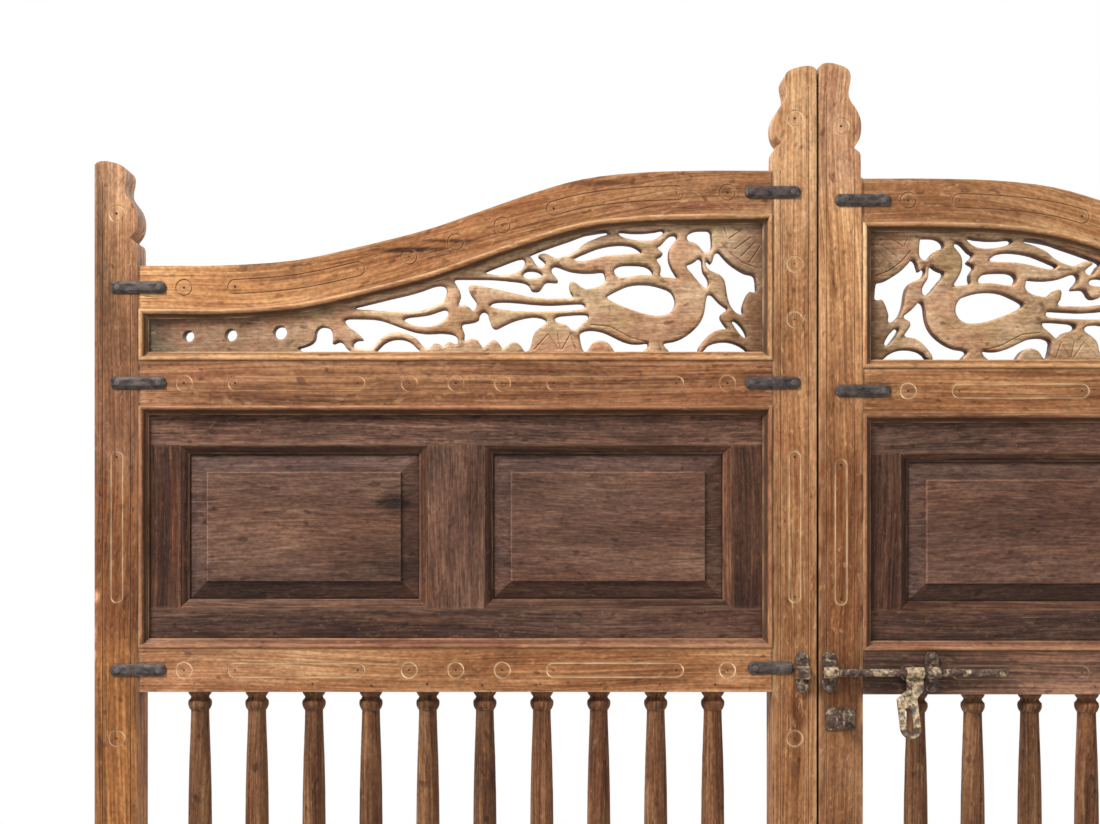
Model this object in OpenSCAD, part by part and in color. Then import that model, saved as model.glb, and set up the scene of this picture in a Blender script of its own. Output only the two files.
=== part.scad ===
/* [Leaf] */
// Width of each leaf over both stiles
leaf_w = 1184; // [1150:1:1250]
// Thickness of the stiles and main rails
leaf_t = 55; // [52:1:62]
// Width of the stiles
stile_w = 72; // [68:1:78]
// Gap between the two meeting stiles
meeting_gap = 4; // [4:0.5:8]
// Clear height from the stile feet to the bottom rail
foot_h = 40; // [20:1:80]
// Height of the bottom rail
bottom_rail_h = 105; // [90:1:130]
// Clear height of the baluster row
baluster_clear = 520; // [420:1:640]
// Height of the lower rail, under the panels
lower_rail_h = 72; // [66:1:84]
// Height of the opening for the panelled frame
panel_open_h = 398; // [360:1:450]
// Height of the lock rail, over the panels
lock_rail_h = 74; // [66:1:86]
// Height of the carved opening at the hanging stile
hanging_open_h = 84; // [80:1:95]
// Height of the carved opening at the meeting stile
meeting_open_h = 240; // [232:1:255]
// Height of the swan-neck top rail
top_rail_h = 71; // [64:1:80]
// Height of the shaped stile heads above the top rail
finial_h = 172; // [150:1:200]
// How much lower the right leaf's lower rail sits
right_lower_drop = 4; // [0:1:4]
// How much lower the right leaf's lock rail and top rail sit
right_upper_drop = 13; // [0:1:16]
// Extra height of the right meeting stile's head
right_head_extra = 18; // [0:1:24]

/* [Joinery] */
// Thickness of the rail tenons
tenon_t = 18; // [14:1:22]
// Length of the rail tenons
tenon_l = 50; // [36:1:56]
// Shoulder above and below each tenon
tenon_shoulder = 10; // [8:1:14]
// Clearance round tenons, tongues and pegs
joint_fit = 0.2; // [0.1:0.05:0.4]

/* [Mouldings] */
// Width of the moulding round the carved and panel openings
bead_w = 15; // [13:1:17]
// Depth of that moulding behind the leaf's face
bead_d = 12; // [10:0.5:14]
// Height of the moulding's roll in front of the leaf's face
bead_proud = 3; // [1:0.5:4]
// Width and depth of the plain fillets at the back
fillet_w = 14; // [10:1:16]
// Hairline left at each mitre of the mouldings
mitre_gap = 0.1; // [0.05:0.05:0.5]
// Thickness of the carved panel
carving_t = 24; // [18:1:26]
// Room left round panels for the wood to move
panel_clear = 1.5; // [0.5:0.5:3]

/* [Panelled frame] */
// Thickness of the panelled frame
inner_t = 28; // [26:1:30]
// Width of its rails and stiles
inner_w = 64; // [58:1:72]
// Width of its middle stile
muntin_w = 92; // [80:1:104]
// Depth of the groove for the panels
groove_d = 10; // [8:1:12]
// Width of the groove for the panels
groove_w = 9; // [8:0.5:10]
// Distance from the frame's face to the groove
groove_in = 12.5; // [11:0.5:14]
// Width of the moulding round each raised panel
panel_bead_w = 15; // [12:1:18]
// Width of the raised panels' bevel
bevel_w = 30; // [24:1:36]
// Rise of that bevel
bevel_rise = 7.5; // [5:0.5:8.5]
// Step from the bevel up to the raised field
field_step = 3; // [1.5:0.5:3.5]

/* [Balusters] */
// Balusters in each leaf
baluster_count = 10; // [8:1:11]
// Largest radius of the turning beside the rails
baluster_r = 19.5; // [17:0.5:22]
// Radius of the round pegs
peg_r = 10; // [8:0.5:11]
// Length of the round pegs
peg_l = 25; // [18:1:30]

/* [Engraving] */
// Radius of the engraved rings
ring_r = 13; // [10:0.5:15]
// Half width of the long engraved loops on the rails
loop_r = 11.5; // [9:0.5:14]
// Half width of the long engraved loops on the stiles
stile_loop_r = 9.5; // [8:0.5:11]
// Width of the engraved line
line_w = 2; // [1.5:0.5:3]
// Depth of the engraved line
line_d = 1.2; // [0.6:0.2:2]
// Distance of the reeded lines from the stile edges
reed_in = 13; // [10:1:16]

/* [Iron straps] */
// Length of the joint straps
strap_l = 92; // [84:1:100]
// Width of the joint straps
strap_w = 20; // [16:1:24]
// Thickness of the joint straps
strap_t = 4.5; // [4:0.25:5]
// Distance between the two nails of a strap
strap_nail_gap = 68; // [60:1:70]
// Length of the shorter strap beside the keeper
lower_strap_l = 76; // [70:1:78]
// How far the strap beside the keeper is set over from the joint
lower_strap_shift = 3; // [3:0.5:6]
// How far the strap beside the keeper is set up from the rail's middle
lower_strap_lift = 3.5; // [0:0.5:6]
// Radius of the nail and screw heads
head_r = 4.8; // [4:0.2:5.5]
// Height of the nail and screw heads
head_h = 2.4; // [1.6:0.2:2.8]
// Radius of the nail and screw shanks
shank_r = 2.4; // [2:0.1:2.6]
// Timber left between the nails' ends and the mortises
nail_skin = 1.5; // [1:0.5:4]
// Radial clearance of nails and screws in their holes
shank_fit = 0.05; // [0.05:0.05:0.1]

/* [Bolt] */
// Radius of the sliding rod
rod_r = 6; // [5:0.5:7]
// Length of the sliding rod
rod_l = 303; // [290:1:320]
// Travel of the rod
rod_travel = 97; // [94:1:98]
// Distance of the rod's axis from the leaf's face
rod_out = 12; // [12:0.5:14]
// Height of the rod above the lower rail's underside, left leaf
rod_up = 33; // [28:1:40]
// Running clearance of the rod
rod_fit = 0.1; // [0.05:0.01:0.1]
// Clearance of the rod in the keeper
keeper_fit = 1.5; // [1:0.1:2]
// Thickness of the clips
clip_t = 3; // [2.5:0.5:3.5]
// Half height of the clips over their feet
clip_half = 33; // [31:1:34]
// Thickness of the hasp
hasp_t = 4; // [3:0.5:5]
// Gap between the lowered hasp and the leaf's face
hasp_gap = 3; // [3:0.5:5]
// Reach of the hasp below the rod
hasp_l = 108; // [104:1:120]
// Width of the hasp's plate
hasp_w = 33; // [30:1:36]
// Width of the hasp's slot
slot_w = 12; // [10:0.5:14]
// Height of the hasp's slot
slot_h = 40; // [38:1:44]
// Angle that the parked hasp stands forward
hasp_park = 25; // [22:1:35]
// Thickness of the staple's eye
eye_t = 5; // [4:0.5:6]
// Reach of the staple's eye in front of the leaf's face
eye_out = 22; // [20:0.5:24]
// Radius of the padlock hole
padlock_r = 4.5; // [4:0.25:5]
// Thickness of the staple's base
base_t = 2; // [1.5:0.5:2]

/* [Hinges] */
// Height of each hinge
hinge_h = 110; // [96:1:130]
// Thickness of the hinge flaps
flap_t = 4; // [3:0.5:5]
// Length of the hinge flaps from the knuckle's axis
flap_l = 58; // [54:1:62]
// Outer radius of the knuckles
knuckle_r = 7; // [6.5:0.5:8]
// Radius of the hinge pins
pin_r = 3.5; // [3:0.25:4]
// Running clearance of the hinge pins
pin_fit = 0.05; // [0.03:0.01:0.1]
// Clear gap between knuckles
knuckle_gap = 0.5; // [0.3:0.1:1]
// Distance of the hinge axis from the leaf's edge
axis_out = 5; // [4:0.5:7]
// Radius of the screw holes in the fixed flaps
flap_hole_r = 2.75; // [2:0.25:3]
// First screw row's distance from the axis
flap_row = 22; // [20:1:24]
// Distance between the two screw rows
flap_row_gap = 24; // [20:1:26]
// Distance between upper and lower screws
flap_screw_gap = 76; // [60:1:84]
// Height of the low hinges
low_hinge_z = 95; // [80:1:120]
// Height of the middle hinges
mid_hinge_z = 790; // [760:1:900]
// Distance of the top hinges below the hanging end of the top rail
top_hinge_down = 60; // [40:1:90]

/* [Hidden] */
$fn = 48;
over = 1;

// Faces and clear sizes
face_y = -leaf_t / 2;
back_y = leaf_t / 2;
clear_w = leaf_w - 2 * stile_w;
inner_x0 = stile_w;
inner_x1 = leaf_w - stile_w;
panel_y = face_y + bead_d;
carving_back_y = panel_y + carving_t;
inner_back_y = panel_y + inner_t;
mortise_end = 2;
shank_l = (leaf_t - tenon_t) / 2 - nail_skin;
rod_pass = 0.4;
strap_head_h = min(head_h, rod_out - rod_r - strap_t - rod_pass);
strap_side = 1.5;
head_edge = 0.4;
strap_slope = strap_w / 2 - head_r - head_edge;
hole_end = 0.5;

// Levels, with r = 0 for the left leaf and 1 for the right leaf
function bottom_z(r) = foot_h;
function lower_z(r) = foot_h + bottom_rail_h + baluster_clear - r * right_lower_drop;
function panel_z(r) = lower_z(r) + lower_rail_h;
function lock_z(r) = lower_z(0) + lower_rail_h + panel_open_h - r * right_upper_drop;
function carving_z(r) = lock_z(r) + lock_rail_h;
function open_h(meeting) = meeting ? meeting_open_h : hanging_open_h;
function neck_z(r, meeting) = carving_z(r) + open_h(meeting);
function shoulder_z(r, meeting) = neck_z(r, meeting) + top_rail_h;
function head_z(r, meeting) = shoulder_z(r, meeting) + finial_h + (meeting ? r * right_head_extra : 0);

// Smooth curves through chosen points
function blend(a, b, c, d, t) =
  b + t * (c - a) / 2 + t * t * (a - 2.5 * b + 2 * c - d / 2) + t * t * t * (1.5 * (b - c) + (d - a) / 2);
function open_curve(p, k) = [
  for (i = [0 : len(p) - 2], j = [0 : k - 1])
    blend(p[max(i - 1, 0)], p[i], p[i + 1], p[min(i + 2, len(p) - 1)], j / k),
  p[len(p) - 1]
];
function closed_curve(p, k) = [
  for (i = [0 : len(p) - 1], j = [0 : k - 1])
    blend(p[(i + len(p) - 1) % len(p)], p[i], p[(i + 1) % len(p)], p[(i + 2) % len(p)], j / k)
];
function unit(v) = v / norm(v);
function left_of(v) = [-v[1], v[0]];
function inset(path, w) = [
  for (i = [0 : len(path) - 1])
    let (
      p = path[i],
      n1 = left_of(unit(p - path[(i + len(path) - 1) % len(path)])),
      n2 = left_of(unit(path[(i + 1) % len(path)] - p))
    )
    p + w * (n1 + n2) / (1 + n1 * n2)
];

// Swan-neck of the top rail: share of the clear width from the hanging stile, share of the rise
neck_points = [
  [0.06, 0], [0.13, 0.003], [0.25, 0.06], [0.37, 0.235], [0.46, 0.39], [0.54, 0.575],
  [0.62, 0.76], [0.70, 0.91], [0.79, 0.98], [0.89, 1], [0.95, 1]
];
neck_curve = concat([[0, 0]], open_curve(neck_points, 3), [[1, 1]]);
rise = meeting_open_h - hanging_open_h;
function neck_path(r, up) = [
  for (p = neck_curve) [inner_x1 - clear_w * p[0], carving_z(r) + hanging_open_h + rise * p[1] + up]
];
function neck_mid(r, x) =
  carving_z(r) + hanging_open_h + rise * lookup((inner_x1 - x) / clear_w, neck_curve) + top_rail_h / 2;

// Openings as closed paths
function carving_path(r) = concat(
  [[inner_x0, carving_z(r)], [inner_x1, carving_z(r)]], neck_path(r, 0)
);
function box_path(x0, z0, x1, z1) = [[x0, z0], [x1, z0], [x1, z1], [x0, z1]];
function panel_path(r) = box_path(inner_x0, panel_z(r), inner_x1, lock_z(r));

// Openings of the panelled frame
field_w = (clear_w - 2 * inner_w - muntin_w) / 2;
function field_path(r, outer) =
  let (x0 = outer ? inner_x1 - inner_w - field_w : inner_x0 + inner_w)
  box_path(x0, panel_z(r) + inner_w, x0 + field_w, lock_z(r) - inner_w);

// Stile head: share of the stile's width from its straight edge, share of the head's height
head_points = [
  [0, 0.035], [0.09, 0.008], [0.25, 0], [0.43, 0.015], [0.58, 0.035], [0.68, 0.065], [0.72, 0.11],
  [0.71, 0.17], [0.68, 0.23], [0.68, 0.29], [0.74, 0.34], [0.84, 0.395], [0.92, 0.455],
  [0.96, 0.52], [0.96, 0.59], [0.92, 0.66], [0.82, 0.72]
];
head_foot = [[0.80, 0.735], [0.92, 0.77], [0.95, 0.80], [0.955, 0.90], [0.95, 0.985]];
head_curve = open_curve(head_points, 3);

// Mouldings: distance in from the opening's edge, depth behind the leaf's face
bead_profile = [
  [0, bead_d], [0, -bead_proud * 0.3], [bead_w * 0.1, -bead_proud * 0.85], [bead_w * 0.24, -bead_proud],
  [bead_w * 0.4, -bead_proud * 0.7], [bead_w * 0.5, bead_d * 0.1], [bead_w * 0.56, bead_d * 0.3],
  [bead_w * 0.7, bead_d * 0.42], [bead_w * 0.86, bead_d * 0.5], [bead_w * 0.94, bead_d * 0.64],
  [bead_w, bead_d * 0.7], [bead_w, bead_d]
];
panel_bead_profile = [
  [0, groove_in], [0, 0], [panel_bead_w * 0.14, 0], [panel_bead_w * 0.22, groove_in * 0.14],
  [panel_bead_w * 0.42, groove_in * 0.22], [panel_bead_w * 0.62, groove_in * 0.36],
  [panel_bead_w * 0.84, groove_in * 0.6], [panel_bead_w, groove_in * 0.72], [panel_bead_w, groove_in]
];

// Engraving on the rails, as shares of the clear width from its middle
ring_places = [-0.4285, -0.0735, 0, 0.0735, 0.4285];
loop_places = [[-0.359, -0.1435], [0.1435, 0.359]];
mid_x = leaf_w / 2;
loop_end = 75;
loop_steps = 9;
low_ring_down = 76;
head_ring_up = 0.5;
carving_rings = [0.28, 0.66];
reed_w = 1.6;
reed_d = 1;
reed_stop = 0.2;

// Balusters: radius share, distance from the rail
turning = [
  [0.975, 0], [0.975, 4], [0.9, 7], [0.745, 11], [0.8, 14], [0.965, 17.5], [1, 21.5], [0.97, 26],
  [0.87, 30.5], [0.76, 33.5], [0.765, 42], [0.82, 75], [0.89, 112], [0.96, 170]
];
swell = 1.01;
baluster_pitch = clear_w / (baluster_count + 1);
function baluster_x(i) = inner_x0 + baluster_pitch * i;
function baluster_h(r) = lower_z(r) - foot_h - bottom_rail_h;

// Bolt, with x from the meeting line
rod_y = face_y - rod_out;
rod_z = lower_z(0) + rod_up;
rod_shot_x = -91;
rod_x = rod_shot_x + rod_travel;
keeper_x = -36;
keeper_w = 20;
near_x = 7;
far_x = 175;
guide_w = 23;
clip_screw = 26;
wrap_shot_x = 45;
wrap_x = wrap_shot_x + rod_travel;
wrap_w = 28;
wrap_r = rod_out - hasp_gap;
plate_shot_x = 26;
plate_x = plate_shot_x + rod_travel;
arm_z = 26;
plate_z = 42;
slot_x = plate_x + hasp_w / 2;
slot_z = 77;
eye_x = slot_x - rod_travel;
eye_h = 30;
padlock_out = 14;
base_x = 13;
base_w = 48;
base_h = 36;

// Hinges
hinge_x = leaf_w + axis_out;
hinge_y = back_y + knuckle_r;
knuckle_h = (hinge_h - 2 * knuckle_gap) / 3;
pin_head_h = 2;
pin_head_r = 5;
pin_dome = 0.6;
function hinge_levels(r) = [low_hinge_z, mid_hinge_z, shoulder_z(r, false) - top_hinge_down];

// Carving: the pierced grounds, drawn on a sheet 1004 wide and 204 high,
// x from the meeting-side corner and z from the lower edge
sheet_w = 1004;
sheet_h = 204;
foot_arch = [[100, -4], [99, 5], [91, 13], [78, 17.5], [63, 18.5], [50, 16], [38, 10.5], [30, 4], [25, -4]];
breast = [
  [152, -4], [158, 4], [166, 12], [163, 16.5], [150, 18.5], [135, 24], [120, 34], [109, 45], [102, 57],
  [98.5, 70], [97, 82], [95, 91], [90, 95.5], [84, 92], [76, 83], [67, 76], [61, 71.5], [66, 67],
  [72, 63], [73, 57], [69, 50], [63, 42], [59, 38], [68, 38.5], [80, 36.5], [92, 29], [101, 19],
  [109, 8], [114, -4]
];
vine_eye = [[55, 51], [50, 53], [42, 47], [34, 37], [30, 27], [32, 24.5], [39, 28], [47, 38], [53, 47]];
fan_ground = [
  [80, 162], [75, 163], [69, 156], [58, 145], [45, 136], [32, 129], [20, 126.5], [16, 121], [15, 108],
  [14.5, 99], [20, 98], [26, 99.5], [31, 92], [35, 82], [37.5, 72], [36, 64], [40, 62], [47, 65],
  [54, 72], [58.5, 80], [62, 92], [64, 106], [67, 118], [74, 126], [84, 130.5], [92, 134], [97, 141],
  [97, 150], [92, 147], [88, 143.5], [85.5, 150], [83, 158]
];
throat = [
  [128, 142], [120, 145], [113, 149], [108, 153], [103.5, 150], [102.5, 141], [101, 131], [96, 124],
  [92.5, 116], [93, 108], [97, 105], [103, 108], [112, 118], [121, 129], [127, 136]
];
crest = [
  [126, 180], [128, 187], [122, 194], [112, 197.5], [98, 198], [90, 197], [88, 187], [87, 175],
  [89, 166], [95, 162], [101, 163], [106, 169], [112, 175], [119, 178.5]
];
nape = [
  [147, 190], [155, 189], [162, 183], [169, 175], [176, 170.5], [174, 166], [167, 160], [170, 155.5],
  [178, 151.5], [175, 145], [170.5, 138], [171, 129], [172, 124], [163, 121.5], [152, 120.5],
  [142, 119], [147, 127], [154, 139], [158, 152], [157, 165], [152, 174], [146, 181], [144, 186]
];
border_right = [
  [240, 194.5], [237, 188], [228, 184], [212, 181], [195, 180], [182, 182], [172, 187], [165, 194],
  [168, 198], [180, 195.5], [200, 193.5], [220, 193.5]
];
border_left = [
  [257, 194.5], [258, 189.5], [268, 186.5], [282, 181], [296, 174], [306, 165], [320, 157], [338, 151],
  [348, 153.5], [357, 158], [366, 158], [371, 154.5], [366, 150], [358, 143], [362, 137.5], [371, 137],
  [376, 143], [381, 151], [386, 154.5], [378, 159], [360, 166], [340, 173], [318, 180.5], [298, 188],
  [276, 194.5]
];
border_leaf = [
  [460, 127], [448, 133], [430, 140], [412, 147], [396, 151], [392.5, 145], [394, 137], [401, 130],
  [413, 125.5], [430, 123], [448, 124.5]
];
bud_eye = [
  [396, 123.5], [392, 129.5], [383, 131.5], [372, 130], [363.5, 124.5], [368, 120], [379, 118], [390, 118]
];
plume = [
  [314, 150.5], [306, 146.5], [294, 147], [276, 151.5], [256, 156], [234, 158], [212, 159], [201, 160],
  [207, 166.5], [218, 172], [234, 174], [254, 172.5], [274, 168], [292, 161], [306, 155]
];
wing_eye = [
  [247, 130], [243, 137.5], [233, 141], [215, 141.5], [197, 140], [187, 134.5], [183, 127], [188, 124],
  [203, 125], [222, 122], [240, 120.5]
];
tail_ground = [
  [508, 113], [506, 117], [490, 117.5], [465, 117.5], [440, 117], [412, 114.5], [394, 112], [385, 107],
  [382, 100], [376, 98], [368, 99.5], [363, 107], [358, 113], [346, 113], [338, 113], [341, 119],
  [348, 127], [349, 134], [344, 139], [334, 136.5], [318, 131], [298, 128.5], [278, 129], [264, 130],
  [261.5, 123], [261, 115], [270, 107], [284, 103], [294, 102], [303, 106.5], [311, 112.5],
  [318, 113.5], [320, 107], [318, 97], [313, 87.5], [330, 86.5], [356, 86], [380, 88], [404, 93],
  [428, 98], [452, 103.5], [470, 106.5], [483, 105.5], [484, 98], [478, 88], [471.5, 79], [473, 69],
  [478, 65.5], [483, 71], [491, 74.5], [500, 73], [501, 79], [497.5, 88], [499, 98]
];
tail_slit = [
  [450, 74], [444, 79.5], [428, 81], [404, 80], [378, 77.5], [350, 76.5], [322, 78], [300, 79],
  [294, 75], [297, 69.5], [318, 67], [348, 65.5], [384, 65], [416, 66.5], [440, 70]
];
dome_ground = [
  [453, 61], [458, 65], [464, 63], [467, 58], [468, 52], [476, 48], [488, 46], [496, 44], [494, 36],
  [491, 28], [492, 19], [488, 16], [484, 20], [477, 21], [470, 18.5], [464, 10], [460, 6.5], [455, 11],
  [449, 17], [443, 19.5], [437, 16], [431, 8], [428, 4.5], [422, 10], [413, 15.5], [405, 15], [398, 8],
  [393, 1], [388, 2], [383, 9], [380, 22], [376, 32], [368, 39], [359, 45], [357, 51], [366, 55.5],
  [380, 57], [398, 54], [414, 49], [428, 42.5], [438, 37.5], [445, 39], [449, 48], [452, 57]
];
dome_eye = [
  [343, 56], [343, 50], [335, 46.5], [325, 44], [317, 37], [310, 35.5], [303, 42], [295, 49], [289, 54],
  [289, 60], [300, 61.5], [318, 60.5], [334, 59]
];
belly = [
  [303, 26], [301, 32], [292, 35.5], [280, 36], [264, 33], [248, 26], [232, 18.5], [216, 14.5],
  [200, 15], [191, 16], [192, 9], [200, 2], [210, -4], [240, -4], [247, 3], [254, 13], [263, 18.5],
  [273, 19], [282, 15], [288, 6], [293, 0.5], [298, 4], [301, 14]
];
wing = [
  [259, 89], [252, 95], [240, 101], [225, 107.5], [206, 110.5], [186, 109.5], [168, 105], [154, 99],
  [148, 89], [147, 79], [152, 68], [163, 61], [180, 60], [198, 63], [216, 68.5], [234, 75], [250, 82]
];
leaf_ground = [
  [764, 2.5], [752, 7], [741, 12], [735, 20], [733.5, 31], [728, 37.5], [719, 38.5], [710, 35],
  [706.5, 27], [706.5, 18], [707.5, 11.5], [703, 12.5], [696, 15], [689, 11.5], [684, 4], [679, -4],
  [740, -4]
];
stem_ground = [
  [688, 50], [680, 52.5], [662, 52.5], [642, 52], [626, 49.5], [608, 43.5], [590, 37], [572, 31.5],
  [552, 29], [532, 30], [516, 29], [505, 25.5], [502, 17], [504, 11], [511, 14], [518, 15.5],
  [523, 10], [527, 8.5], [533, 12], [540, 13], [547, 7], [553, 4.5], [559, 8], [568, 19], [580, 26],
  [594, 30.5], [608, 30], [622, 25], [633, 15], [640, 5], [650, 2.5], [664, 3], [673, 6], [673, 13],
  [666, 17.5], [657, 18], [660, 23], [669, 31], [680, 38], [686, 45]
];
low_arch = [[632, -4], [629, 7], [620, 14.5], [608, 19], [594, 19.5], [581, 15.5], [572, 8], [566, -4]];
vine_top = [
  [676, 69], [660, 73], [636, 79], [610, 85.5], [584, 91.5], [560, 98.5], [544, 104.5], [530, 107],
  [521.5, 103], [520.5, 92], [525, 82], [536, 75], [552, 68], [572, 63.5], [594, 62.5], [618, 64],
  [644, 66], [664, 67]
];
stem_eye = [
  [591, 51], [585, 55], [568, 57], [549, 60], [533, 65.5], [522, 68], [517.5, 63], [519, 56], [529, 47],
  [542, 41], [557, 39.5], [573, 41.5], [585, 46]
];
piercings = [
  foot_arch, breast, vine_eye, fan_ground, throat, crest, nape, border_right, border_left, border_leaf,
  bud_eye, plume, wing_eye, tail_ground, tail_slit, dome_ground, dome_eye, belly, wing, leaf_ground,
  stem_ground, low_arch, vine_top, stem_eye
];
curve_steps = 2;
// Round holes at the hanging end: distance from the hanging-side corner, height, radius
round_holes = [[61, 23, 9], [131, 25, 9.8], [212, 29, 11]];

// Leaf frame: x from the meeting edge outwards, the left leaf being the mirror of the right
module place(r) {
  if (r == 1)
    translate([meeting_gap / 2, 0, 0]) children();
  else
    mirror([1, 0, 0]) translate([meeting_gap / 2, 0, 0]) children();
}
module slab(y0, y1) {
  translate([0, y1, 0]) rotate([90, 0, 0]) linear_extrude(y1 - y0) children();
}
module block(x0, x1, y0, y1, z0, z1) {
  translate([x0, y0, z0]) cube([x1 - x0, y1 - y0, z1 - z0]);
}
module along_x(x, y, z) {
  translate([x, y, z]) rotate([0, 90, 0]) children();
}
module from_face(x, y, z) {
  translate([x, y, z]) rotate([90, 0, 0]) children();
}

// Engraved marks
module ring_mark() {
  difference() {
    circle(r = ring_r + line_w / 2);
    circle(r = ring_r - line_w / 2);
  }
}
module stadium(l, rad) {
  square([l, 2 * rad], center = true);
  translate([-l / 2, 0]) circle(r = rad);
  translate([l / 2, 0]) circle(r = rad);
}
module loop_mark(p, q, rad) {
  v = q - p;
  translate((p + q) / 2) rotate(atan2(v[1], v[0]))
    difference() {
      stadium(norm(v) - 2 * rad, rad + line_w / 2);
      stadium(norm(v) - 2 * rad, rad - line_w / 2);
    }
}
module band(points, rad) {
  last = len(points) - 1;
  sideways = [
    for (i = [0 : last]) rad * left_of(unit(points[min(i + 1, last)] - points[max(i - 1, 0)]))
  ];
  polygon(concat(
    [for (i = [0 : last]) points[i] + sideways[i]],
    [for (i = [last : -1 : 0]) points[i] - sideways[i]]
  ));
  translate(points[0]) circle(r = rad);
  translate(points[last]) circle(r = rad);
}
module neck_loop(r, x0, x1) {
  points = [
    for (i = [0 : loop_steps]) let (x = x0 + (x1 - x0) * i / loop_steps) [x, neck_mid(r, x)]
  ];
  difference() {
    band(points, loop_r + line_w / 2);
    band(points, loop_r - line_w / 2);
  }
}
module engrave() {
  slab(face_y - over, face_y + line_d) children();
}

// Nails and screws stand along +z with the seat of the head at z = 0
module shank(depth, h = head_h) {
  rotate_extrude()
    polygon([
      [0, -depth], [shank_r, -depth], [shank_r, 0], [head_r, 0], [head_r, h * 0.35],
      [head_r * 0.8, h * 0.75], [head_r * 0.45, h], [0, h]
    ]);
}
module shank_hole(depth) {
  translate([0, 0, -depth]) cylinder(r = shank_r + shank_fit, h = depth + over);
}

// Strips of moulding between two corners of a path
module strip(path, steps, profile, y) {
  rows = [for (q = profile) inset(path, q[0])];
  n = len(profile);
  m = len(steps);
  first = mitre_gap * unit(path[steps[1]] - path[steps[0]]);
  final = mitre_gap * unit(path[steps[m - 2]] - path[steps[m - 1]]);
  polyhedron(
    points = [
      for (i = [0 : m - 1], j = [0 : n - 1])
        let (p = rows[j][steps[i]] + (i == 0 ? first : i == m - 1 ? final : [0, 0]))
        [p[0], y + profile[j][1], p[1]]
    ],
    faces = concat(
      [[for (j = [0 : n - 1]) (n - j) % n]],
      [for (i = [0 : m - 2], j = [0 : n - 1])
        [i * n + j, i * n + (j + 1) % n, (i + 1) * n + (j + 1) % n, (i + 1) * n + j]],
      [[for (j = [0 : n - 1]) (m - 1) * n + j]]
    )
  );
}
function sides(path) =
  let (last = len(path) - 1)
  [[0, 1], [1, 2], [for (i = [2 : last]) i], [last, 0]];
module strips(path, profile, y) {
  for (steps = sides(path))
    strip(path, steps, profile, y);
}

// Plain square fillets between two corners of a path
module fillets(path, y) {
  inner = inset(path, fillet_w);
  for (steps = sides(path)) {
    m = len(steps);
    first = mitre_gap * unit(path[steps[1]] - path[steps[0]]);
    final = mitre_gap * unit(path[steps[m - 2]] - path[steps[m - 1]]);
    ends = [for (i = [0 : m - 1]) i == 0 ? first : i == m - 1 ? final : [0, 0]];
    slab(y, y + fillet_w)
      polygon(concat(
        [for (i = [0 : m - 1]) path[steps[i]] + ends[i]],
        [for (i = [m - 1 : -1 : 0]) inner[steps[i]] + ends[i]]
      ));
  }
}

// Stiles, with x from the straight edge
function strap_levels(r, meeting) = concat(
  [meeting ? neck_mid(r, inner_x0) : neck_mid(r, inner_x1), lock_z(r) + lock_rail_h / 2],
  meeting && r == 1 ? [] : [lower_z(r) + lower_rail_h / 2 + (meeting ? lower_strap_lift : 0)]
);
function by_keeper(r, meeting, i) = meeting && r == 0 && i == 2;
function strap_len(r, meeting, i) = by_keeper(r, meeting, i) ? lower_strap_l : strap_l;
function strap_set(r, meeting, i) = by_keeper(r, meeting, i) ? lower_strap_shift : 0;
function nail_half(l) = (strap_nail_gap - strap_l + l) / 2;
function strap_spot(r, meeting, i) = [
  meeting ? inner_x0 + strap_set(r, meeting, i) : inner_x1, face_y, strap_levels(r, meeting)[i]
];
function stile_outline(r, meeting) =
  let (top = head_z(r, meeting), h = top - shoulder_z(r, meeting))
  concat(
    [[0, 0], [stile_w, 0], [stile_w, top - h]],
    [for (i = [len(head_foot) - 1 : -1 : 0]) [stile_w * head_foot[i][0], top - h * head_foot[i][1]]],
    [for (i = [len(head_curve) - 1 : -1 : 0]) [stile_w * head_curve[i][0], top - h * head_curve[i][1]]]
  );
module mortise(z0, h) {
  block(
    stile_w - tenon_l - mortise_end, stile_w + over, -tenon_t / 2 - joint_fit, tenon_t / 2 + joint_fit,
    z0 + tenon_shoulder - joint_fit, z0 + h - tenon_shoulder + joint_fit
  );
}
module stile(r, meeting) {
  middle = stile_w / 2;
  difference() {
    slab(face_y, back_y) polygon(stile_outline(r, meeting));
    mortise(bottom_z(r), bottom_rail_h);
    mortise(lower_z(r), lower_rail_h);
    mortise(lock_z(r), lock_rail_h);
    mortise(neck_z(r, meeting), top_rail_h);
    engrave() translate([middle, shoulder_z(r, meeting) + finial_h * head_ring_up]) ring_mark();
    engrave() loop_mark([middle, panel_z(r) + loop_end], [middle, lock_z(r) - loop_end], stile_loop_r);
    if (!(meeting && r == 1))
      engrave() translate([middle, lower_z(r) - low_ring_down]) ring_mark();
    if (meeting && r == 0)
      for (s = carving_rings)
        engrave() translate([middle, carving_z(r) + meeting_open_h * s]) ring_mark();
    for (x = [reed_in, stile_w - reed_in])
      block(
        x - reed_w / 2, x + reed_w / 2, face_y - over, face_y + reed_d,
        -over, shoulder_z(r, meeting) + (x < middle ? finial_h * (1 - reed_stop) : 0)
      );
    for (i = [0 : len(strap_levels(r, meeting)) - 1]) {
      x = stile_w + strap_set(r, meeting, i) - nail_half(strap_len(r, meeting, i));
      from_face(x, face_y, strap_levels(r, meeting)[i]) shank_hole(shank_l + hole_end);
    }
    if (!meeting)
      hinge_screw_places(r) shank_hole(shank_l + hole_end);
    if (meeting && r == 0)
      clip_screw_places(-keeper_x - keeper_w / 2 - meeting_gap / 2) shank_hole(shank_l + hole_end);
    if (meeting && r == 1)
      clip_screw_places(near_x + guide_w / 2 - meeting_gap / 2) shank_hole(shank_l + hole_end);
  }
}
module meeting_stile(r) {
  stile(r, true);
}
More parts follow.
